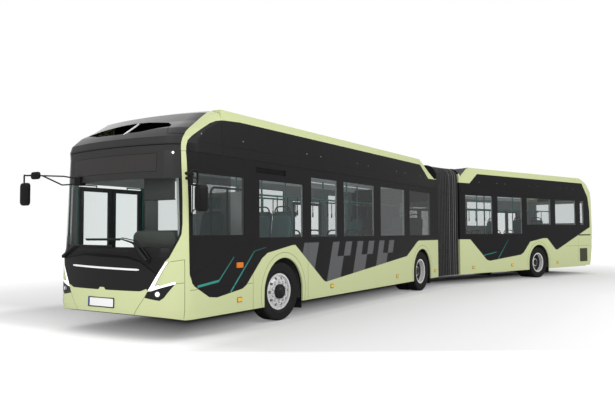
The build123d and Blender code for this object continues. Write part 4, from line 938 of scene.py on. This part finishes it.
# --- Seats ---------------------------------------------------------------------------
# Moulded shells on steel pedestals with foam pads under ribbed teal cloth, and a black
# plastic grab loop over each back. The driver's seat is taller, with a head rest.
shell_look = Look("seat_shell", (0.022, 0.060, 0.062)).rough(0.38, 0.08, 500.0)
cloth_look = Look("seat_cloth", roughness=0.9, sheen_weight=0.3)
x, y, z = cloth_look.place()
ribs = (y * 420.0).math("SINE")
weave = cloth_look.speckle(900.0)
cloth_look.mottle(weave * 0.7 + 0.15 * ribs, (0.016, 0.070, 0.072), (0.050, 0.150, 0.150))
cloth_look.bump(0.6 * ribs + 0.4 * weave, 0.0012, 0.6)
grip_look = Look("grab_loop", (0.010, 0.010, 0.011)).rough(0.42, 0.1, 500.0)
pedestal_look = Look("seat_pedestal", (0.10, 0.105, 0.105), metallic=0.5).rough(0.40, 0.1, 300.0)
seat_gap, back_height = 0.450, 0.640
seat_left = 1.215 - 0.020 - 0.440
# What a row stands on and the height of its cushion
low, box, deck = (0.330, 0.800), (1.060, 1.210), (0.600, 1.050)
# Rows of each car: (x, y, level, facing, places)
seat_rows = {
    "front_car": [(-0.15, seat_left, box, 1, 2),
                  *((x_at, seat_left, low, 1, 2) for x_at in (-1.15, -1.95, -2.75, -3.55, -4.35, -5.10)),
                  (-6.35, seat_left + 0.1, box, 1, 1), (-5.90, seat_left + 0.1, box, -1, 1),
                  (-0.15, -seat_left, box, 1, 2),
                  *((x_at, -seat_left, low, 1, 2) for x_at in (-1.15, -1.95, -2.75)),
                  (-6.35, -seat_left - 0.1, box, 1, 1), (1.30, 0.620, deck, 1, 1)],
    "rear_car": [*((x_at, seat_left, low, 1, 2) for x_at in (-1.70, -2.50, -3.30)),
                 (-5.05, seat_left + 0.1, box, 1, 1), (-4.55, seat_left + 0.1, box, -1, 1),
                 *((x_at, seat_left, low, 1, 2) for x_at in (-5.95, -6.70, -7.40)),
                 (-3.60, -seat_left, low, 1, 2), (-5.05, -seat_left - 0.1, box, 1, 1)],
}


def pad(shape, centre, across, upward, width, tall, thick):
    """Foam pad: sides pulled in, face crowned, back flat."""
    across, upward = across.normalized(), upward.normalized()
    out = across.cross(upward)
    shape.rings([rounded(centre + out * (thick * lift), across, upward, width * scale, tall * scale,
                         min(width, tall) * 0.22 * scale, 4)
                 for scale, lift in ((0.30, 0.0), (0.93, 0.0), (0.99, 0.22), (1.00, 0.50), (0.97, 0.74),
                                     (0.88, 0.90), (0.60, 0.98), (0.20, 1.0))])


# Half of a grab loop, as (distance from the seat's middle, height over its back)
loop_half = ((0.165, -0.06), (0.160, 0.015), (0.130, 0.060), (0.070, 0.078))
for car, end in ends.items():
    shells, pads, grips, stands = Shape(), Shape(), Shape(), Shape()
    ex, ey = way((1, 0, 0), car), way((0, 1, 0), car)
    for x_at, y_at, level, facing, places in seat_rows[car]:
        stand, cushion = level
        across, pan = ey * facing, ex * facing + zenith * 0.06
        shell_up = ex * (-0.115 * facing) + zenith * 0.80
        for place in range(places):
            y_seat = y_at + (place - (places - 1) / 2) * seat_gap
            at = lambda dx, dy, dz: on_car((x_at + facing * dx, y_seat + dy, dz), car)
            # The cushion's up is the way from its back to its front edge, so its face looks up
            slab(shells, at(0.02, 0, cushion - 0.058), across * -1, pan, 0.425, 0.440, 0.030, 0.070, 0.012)
            pad(pads, at(0.02, 0, cushion - 0.028), across * -1, pan, 0.400, 0.410, 0.052)
            tall = back_height + (0.13 if level is deck else 0.0)
            middle, lean = cushion + tall / 2 - 0.045, -0.212
            slab(shells, at(lean - 0.022, 0, middle), across, shell_up, 0.425, tall + 0.04, 0.030, 0.085,
                 0.012)
            pad(pads, at(lean + 0.008, 0, middle - 0.02), across, shell_up, 0.385, tall - 0.07, 0.050)
            if level is deck:
                pad(pads, at(-0.300, 0, cushion + tall + 0.10), across, shell_up, 0.270, 0.200, 0.085)
                continue
            top = cushion + back_height - 0.02
            loop = [at(-0.245, -wide, top + rise) for wide, rise in loop_half]
            loop += [at(-0.245, wide, top + rise) for wide, rise in reversed(loop_half)]
            tube(grips, loop, 0.013, 8)
        foot = on_car((x_at, y_at, 0.0), car)
        bearer = 0.16 + 0.40 * (places - 1)
        stands.rings([rounded(foot + zenith * z_at, ex, ey, w, d, 0.012, 3) for z_at, w, d in (
            (stand + 0.0005, 0.16, 0.30), (stand + 0.012, 0.16, 0.30), (stand + 0.022, 0.08, 0.10),
            (cushion - 0.090, 0.07, 0.09), (cushion - 0.075, 0.16, bearer),
            (cushion - 0.060, 0.16, bearer))])
    made = shells.object(f"{end}_seat_shells", shell_look, car, slot="seat_cloth")
    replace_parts(made, f"{end}_seats")
    pads.object(f"{end}_seat_pads", cloth_look, car, slot="seat_cloth")
    grips.object(f"{end}_grab_loops", grip_look, car, slot="black_plastic")
    stands.object(f"{end}_seat_pedestals", pedestal_look, car, slot="chassis_steel")

# --- Wheels --------------------------------------------------------------------------
# Radial tyres with ribbed treads on forged aluminium discs: bulged at the front, where
# ten nuts ring a black hub, and deep dished on the twin wheels.
tyre_look = Look("tyre_rubber", roughness=0.75)
tyre_look.mottle(tyre_look.speckle(25.0) * 0.5, (0.006, 0.006, 0.0065), (0.012, 0.012, 0.0115))
tyre_look.bump(tyre_look.speckle(500.0), 0.0006, 0.4)
tyre_r, tyre_half, twin_gap = 0.479, 0.138, 0.310
parked_steer = math.radians(-5.3)
front_track, twin_track, kingpin_y = 1.092, 1.230 - tyre_half - twin_gap / 2, 0.930
nut_count, nut_circle_r = 10, 0.1675
# Half of the tyre's section from the bead to the middle of the tread, as (radius, side)
tyre_half_section = ((0.3005, 0.096), (0.304, 0.112), (0.318, 0.121), (0.345, 0.131), (0.352, 0.1335),
                     (0.358, 0.131), (0.385, 0.1365), (0.415, 0.138), (0.440, 0.1355), (0.448, 0.1368),
                     (0.454, 0.1340), (0.466, 0.128), (0.4745, 0.119), (0.4780, 0.108), (0.4785, 0.090),
                     (0.4665, 0.0885), (0.4665, 0.0795), (0.4788, 0.078), (0.4789, 0.046), (0.4665, 0.0445),
                     (0.4665, 0.0355), (0.4790, 0.034), (0.4790, 0.006), (0.4665, 0.0045))


def wheel_axes(axle, sign):
    """Middle of a wheel, the way to its outside and the way ahead."""
    if axle == "front":
        c, s = math.cos(parked_steer), math.sin(parked_steer)
        turn = lambda x_, y_: Vector((x_ * c - y_ * s, x_ * s + y_ * c, 0))
        centre = Vector((0, sign * kingpin_y, tyre_r)) + turn(0, sign * (front_track - kingpin_y))
        return centre, turn(0, sign), turn(1, 0)
    car, x_at = ("front_car", -6.100) if axle == "mid" else ("rear_car", -4.780)
    return on_car((x_at, sign * twin_track, tyre_r), car), way((0, sign, 0), car), way((1, 0, 0), car)


section = list(tyre_half_section) + [(r, -side_at) for r, side_at in reversed(tyre_half_section)]
tread_steps = 80
# Node names by axle: (axle, tyre, rim, body)
axles = (("front", "front_tyre", "front_rim", "front_wheel"), ("mid", "mid_tyres", "mid_rims", "mid_wheels"),
         ("rear", "rear_tyres", "rear_rims", "rear_wheels"))
for axle, tyres, discs, wheel in axles:
    for hand, sign in (("left", 1), ("right", -1)):
        centre, out, forward = wheel_axes(axle, sign)
        rubber = Shape()
        for offset in ((0.0,) if axle == "front" else (twin_gap / 2, -twin_gap / 2)):
            middle = centre + out * offset
            rings = []
            for i in range(tread_steps):
                angle = 2 * math.pi * i / tread_steps
                radial = forward * math.cos(angle) + zenith * math.sin(angle)
                rings.append([middle + radial * r + out * side_at for r, side_at in section])
            rubber.rings(rings, around=True)
        made = rubber.object(f"{axle}_{hand}_rubber", tyre_look, f"{wheel}_{hand}", slot="tyre_rubber")
        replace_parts(made, f"{tyres}_{hand}")

hub_black = Look("hub_cap", (0.010, 0.010, 0.011)).rough(0.32, 0.1, 200.0)
nut_look = Look("wheel_nut", (0.72, 0.72, 0.73), metallic=0.2).rough(0.28, 0.12, 300.0)
front_hub = ((0.1065, 0.122), (0.140, 0.120), (0.149, 0.112), (0.151, 0.060), (0.158, 0.052), (0.160, 0.020),
             (0.1605, 0.004))
twin_hub = ((0.1705, 0.100), (0.174, 0.098), (0.176, 0.090), (0.1765, 0.055), (0.184, 0.050), (0.186, 0.020),
            (0.1865, 0.004))
nut_rings = ((0.0003, 0.0215), (0.005, 0.0215), (0.006, 0.0175), (0.023, 0.0170), (0.026, 0.0130),
             (0.0265, 0.0115))
for axle, tyres, discs, wheel in axles:
    for hand, sign in (("left", 1), ("right", -1)):
        centre, out, forward = wheel_axes(axle, sign)
        single = axle == "front"
        first_nut = math.radians(18 if sign > 0 else 0)
        angles = [first_nut + 2 * math.pi * i / nut_count for i in range(nut_count)]
        polished = Look(f"{axle}_{hand}_disc", specular_ior_level=0.5)
        x, y, z = polished.place()
        dx, dy, dz = x - centre.x, y - centre.y, z - centre.z
        ahead_by = dx * forward.x + dy * forward.y
        depth = dx * out.x + dy * out.y
        radius = (ahead_by ** 2.0 + dz ** 2.0) ** 0.5
        turning = (radius * 900.0).math("SINE")
        # The disc is painted near black on its back towards the bus, a painted shade, and round the hub's
        # middle
        back = (depth < (-0.02 if single else -0.01)) & (radius < 0.268)
        dark = back | ((radius < 0.122) if single else (radius < 0.095) & (depth > 0.05))
        grime = polished.speckle(14.0)
        if single:
            colour = polished.blend(grime * 0.35, (0.80, 0.80, 0.80), (0.40, 0.395, 0.385))
            # A dark ring round each nut on the disc is painted shade where the nut sits
            for angle in angles:
                ring = ((ahead_by - nut_circle_r * math.cos(angle)) ** 2.0
                        + (dz - nut_circle_r * math.sin(angle)) ** 2.0) ** 0.5
                colour = polished.blend(line(ring, 0.026, 0.005) & (depth > 0.0), colour, (0.06, 0.06, 0.06))
        else:
            # The barrel is painted bright near its outer lip and dark deeper in, a painted shade down the
            # dish; two thin dark rings cross the bright part
            streaks = line(depth, 0.238, 0.008) | line(depth, 0.205, 0.008)
            deep = 1.0 - depth.ramp(0.140, 0.02)
            colour = polished.layers((0.90, 0.90, 0.90), (deep, (0.085, 0.085, 0.087)),
                                     (0.8 * streaks, (0.05, 0.05, 0.05)))
        polished.mottle(dark, colour, (0.020, 0.020, 0.020))
        polished.set("Metallic", 0.2 * (1.0 - dark))
        polished.set("Roughness", 0.24 + 0.02 * turning + 0.15 * grime)
        polished.bump(turning, 0.0003, 0.3)
        polished.paint(f"{discs}_{hand}")
        nuts, hub = Shape(), Shape()
        for angle in angles:
            radial = forward * math.cos(angle) + zenith * math.sin(angle)
            at = centre + radial * nut_circle_r + out * (0.106 if single else 0.0142)
            nuts.rings([circle(at + out * lift, radial, out.cross(radial), r) for lift, r in nut_rings])
        nuts.object(f"{axle}_{hand}_nuts", nut_look, f"{wheel}_{hand}", slot="wheel_alloy")
        hub.rings([circle(centre + out * lift, forward, zenith, r, 28)
                   for lift, r in (front_hub if single else twin_hub)])
        hub.object(f"{axle}_{hand}_hub", hub_black, f"{wheel}_{hand}", slot="black_plastic")

# --- Running gear --------------------------------------------------------------------
# Forged and welded steel under black chassis paint, dusty where the road throws it.
chassis_look = Look("chassis_paint", roughness=0.6)
chassis_look.mottle(chassis_look.speckle(6.0) * 0.5, (0.018, 0.018, 0.019), (0.05, 0.047, 0.043))
chassis_look.bump(chassis_look.speckle(300.0), 0.0008, 0.4)
chassis_look.paint("front_axle", "mid_axle", "rear_axle", "turntable", "coupling", "knuckle_left",
                   "knuckle_right")

# --- Bellows -------------------------------------------------------------------------
# Coated cloth folds sewn over aluminium hoops, clamped to both cars' end frames. The hoops
# of the rear folds show as thin pale edges. The cloth is shaped to the cars' parked bend.
bellows_look = Look("bellows_cloth", roughness=0.8)
bellows_look.bump(bellows_look.speckle(600.0), 0.0008, 0.5)
bellows_look.mottle(bellows_look.speckle(5.0) * 0.5, (0.013, 0.0125, 0.013), (0.028, 0.027, 0.027))
hoop_look = Look("bellows_hoop", (0.26, 0.26, 0.265), metallic=0.1).rough(0.4, 0.15, 200.0)
fold_count, fold_depth = 13, 0.030
bellows_half, bellows_low, bellows_high, bellows_corner = 1.2395, 0.274, 3.228, 0.300
sheet_thick, gangway_front = 0.006, Vector((-7.1363, 0, 0))
gangway_rear = on_car((-0.8157, 0, 0), "rear_car")


def gangway_ring(share, draw):
    """Open hoop round the gangway at a share of its length, drawn in by a distance."""
    origin = gangway_front.lerp(gangway_rear, share)
    origin.y = gangway_rear.y * share ** 2
    turn = parked_bend * share
    left = Vector((-math.sin(turn), math.cos(turn), 0))
    half, high, corner, steps = bellows_half - draw, bellows_high - draw, bellows_corner - draw, 8
    ring = [(-half, bellows_low + (high - bellows_low) * i / 6) for i in range(6)]
    ring = [(side_at, z_at) for side_at, z_at in ring if z_at < high - corner - 0.05]
    ring += [(-half + corner - corner * math.cos(a), high - corner + corner * math.sin(a))
             for a in (math.pi / 2 * i / steps for i in range(steps + 1))]
    ring += [(-(half - corner) * (1 - 2 * i / 6), high) for i in range(1, 6)]
    first_half = [point for point in ring if point[0] <= -half + corner + 1e-6]
    ring += [(-side_at, z_at) for side_at, z_at in reversed(first_half)]
    return [origin + left * side_at + zenith * z_at for side_at, z_at in ring]


folds, hoops = Shape(), Shape()
fold_shape = ((0.0, 1.0), (0.05, 0.80), (0.22, 0.42), (0.38, 0.10), (0.5, 0.0), (0.62, 0.10), (0.78, 0.42),
              (0.95, 0.80))
places = [((fold + share) / fold_count, fold_depth * deep) for fold in range(fold_count)
          for share, deep in fold_shape] + [(1.0, fold_depth)]
outer = [gangway_ring(at, draw) for at, draw in places]
inner = [gangway_ring(at, draw + sheet_thick) for at, draw in places]
count = len(outer[0])
for rows, flip in ((outer, False), (inner, True)):
    faces = []
    for i in range(len(rows) - 1):
        for j in range(count - 1):
            quad = (i * count + j, i * count + j + 1, (i + 1) * count + j + 1, (i + 1) * count + j)
            faces.append(quad[::-1] if flip else quad)
    folds.add([p for ring in rows for p in ring], faces)
# Close the sheet along its lower edges and round both ends
total = len(outer) * count
for i in range(len(outer) - 1):
    a, b = i * count, (i + 1) * count
    folds.faces.append((a, b, total + b, total + a))
    folds.faces.append((a + count - 1, total + a + count - 1, total + b + count - 1, b + count - 1))
for j in range(count - 1):
    folds.faces.append((j, total + j, total + j + 1, j + 1))
    end = (len(outer) - 1) * count + j
    folds.faces.append((end, end + 1, total + end + 1, total + end))
for fold in range(fold_count):
    at = (fold + 0.5) / fold_count
    half = (0.007 if fold in (8, 10, 11) else 0.0016) / 1.6
    rings = [gangway_ring(share, draw) for share, draw in (
        (at - half, 0.002), (at - half, -0.0015), (at + half, -0.0015), (at + half, 0.002))]
    hoops.rings(list(map(list, zip(*rings))))
cloth_piece = folds.object("bellows_folds", bellows_look)
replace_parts(cloth_piece, "bellows")
for piece in (cloth_piece, hoops.object("bellows_hoops", hoop_look)):
    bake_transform(piece)

# --- Mirrors -------------------------------------------------------------------------
# Black moulded housings: one arm of two steel tubes reaches out ahead of the entrance, and
# a short bracket carries the driver's mirror beside the pillar.
housing_look = Look("mirror_housing", (0.007, 0.007, 0.0075), specular_ior_level=0.3)
housing_look.rough(0.36, 0.08, 500.0)
housing_look.bump(housing_look.speckle(700.0), 0.0004, 0.3)
mirror_glass = Look("mirror_glass", (0.75, 0.76, 0.77), metallic=1.0).rough(0.03, 0.02, 20.0)


def housing(shape, low, high, corner):
    """Rounded mirror shell between two corners; its back swells towards the front."""
    (x0, y0, z0), (x1, y1, z1) = low, high
    rings = []
    for share, swell in ((0.0, 0.88), (0.03, 0.965), (0.12, 1.0), (0.30, 1.0), (0.55, 1.0), (0.80, 0.93),
                         (0.94, 0.80), (1.0, 0.62)):
        at, wide = Vector((x0 + (x1 - x0) * share, (y0 + y1) / 2, (z0 + z1) / 2)), (y1 - y0) * swell
        rings.append(rounded(at, Vector((0, 1, 0)), zenith, wide, (z1 - z0) * (0.5 + swell / 2),
                             min(corner, wide * 0.45)))
    return shape.rings(rings)


arm, fore, driver_side, faces = Shape(), Shape(), Shape(), Shape()
tube(arm, ((2.560, -0.700, 2.282), (2.600, -0.790, 2.290), (2.650, -0.900, 2.312), (2.885, -1.330, 2.330)),
     0.011)
tube(arm, ((2.560, -0.665, 2.190), (2.690, -0.880, 2.178), (2.850, -1.130, 2.318)), 0.011)
tube(arm, ((2.885, -1.300, 2.330), (2.885, -1.470, 2.335), (2.885, -1.525, 2.345), (2.885, -1.527, 2.330),
           (2.885, -1.525, 2.200)), 0.012)
housing(arm, (2.868, -1.340, 2.268), (2.915, -1.140, 2.378), 0.045)
slab(arm, (2.470, -0.690, 2.235), (0, 1, 0), zenith, 0.130, 0.130, 0.105, 0.020, 0.010)
housing(fore, (2.858, -1.598, 1.880), (2.922, -1.400, 2.225), 0.050)
slab(driver_side, (2.245, 1.190, 2.240), (1, 0, 0), zenith, 0.090, 0.140, 0.001, 0.020, 0.0004)
tube(driver_side, ((2.262, 1.185, 2.275), (2.250, 1.290, 2.262), (2.300, 1.375, 2.250)),
     (0.030, 0.024, 0.018))
tube(driver_side, ((2.262, 1.185, 2.200), (2.250, 1.290, 2.210), (2.300, 1.375, 2.205)),
     (0.026, 0.020, 0.016))
loop_x, loop_y, loop_z, bend_r = 2.288, 1.392, 2.202, 0.030
loop = []
for quarter, (px, pz) in enumerate(((1, 1), (-1, 1), (-1, -1), (1, -1))):
    for part in (0.0, 0.5, 1.0):
        angle = math.radians(90.0 * (quarter + part))
        loop.append((loop_x + px * 0.032 + bend_r * math.cos(angle), loop_y,
                     loop_z + pz * 0.070 + bend_r * math.sin(angle)))
tube(driver_side, loop + loop[:1], 0.014)
tube(driver_side, ((loop_x - 0.062, loop_y, loop_z - 0.005), (loop_x + 0.062, loop_y, loop_z - 0.005)),
     0.008)
tube(driver_side, ((loop_x - 0.010, loop_y, loop_z - 0.095), (loop_x - 0.060, 1.400, loop_z - 0.125)), 0.016)
housing(driver_side, (2.095, 1.350, 1.748), (2.262, 1.470, 2.112), 0.040)
slab(faces, (2.858, -1.502, 2.052), (0, -1, 0), zenith, 0.165, 0.300, 0.002, 0.035, 0.001)
slab(faces, (2.095, 1.410, 1.931), (0, -1, 0), zenith, 0.080, 0.300, 0.002, 0.030, 0.001)
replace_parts(arm.object("mirror_arm", housing_look, "front_car", slot="black_plastic"), "mirrors")
fore.object("mirror_head_entrance", housing_look, "front_car", slot="black_plastic")
driver_side.object("mirror_head_driver", housing_look, "front_car", slot="black_plastic")
faces.object("mirror_faces", mirror_glass, "front_car", slot="polished_alloy")

# --- Wipers --------------------------------------------------------------------------
# Bent steel arms in black enamel, each with a long rubber blade clipped to its outer run.
wiper_look = Look("wiper_enamel", (0.009, 0.009, 0.0095)).rough(0.38, 0.1, 400.0)
wiper_look.paint("wipers")

arms = Shape()
arm_lift = 0.030
# Each arm and blade: its path on the face as (side offset, height), and its radii
wiper_runs = (
    (((-1.050, 1.110), (-0.930, 1.168), (-0.690, 1.284), (-0.520, 1.283)), (0.026, 0.021, 0.016, 0.010)),
    (((0.820, 1.080), (0.740, 1.157), (0.570, 1.320), (0.450, 1.352)), (0.028, 0.024, 0.018, 0.010)),
    (((0.860, 1.105), (0.780, 1.190), (0.610, 1.352), (0.360, 1.392)), (0.009, 0.009, 0.008, 0.007)),
    (((-0.560, 1.272), (0.190, 1.264)), 0.009), (((0.330, 1.362), (-0.390, 1.360)), 0.009))
for path, radius in wiper_runs:
    tube(arms, [(face_x(y_at, z_at) + arm_lift, y_at, z_at) for y_at, z_at in path], radius, 10)
arms.object("wiper_arms", wiper_look, "front_car", slot="black_plastic")
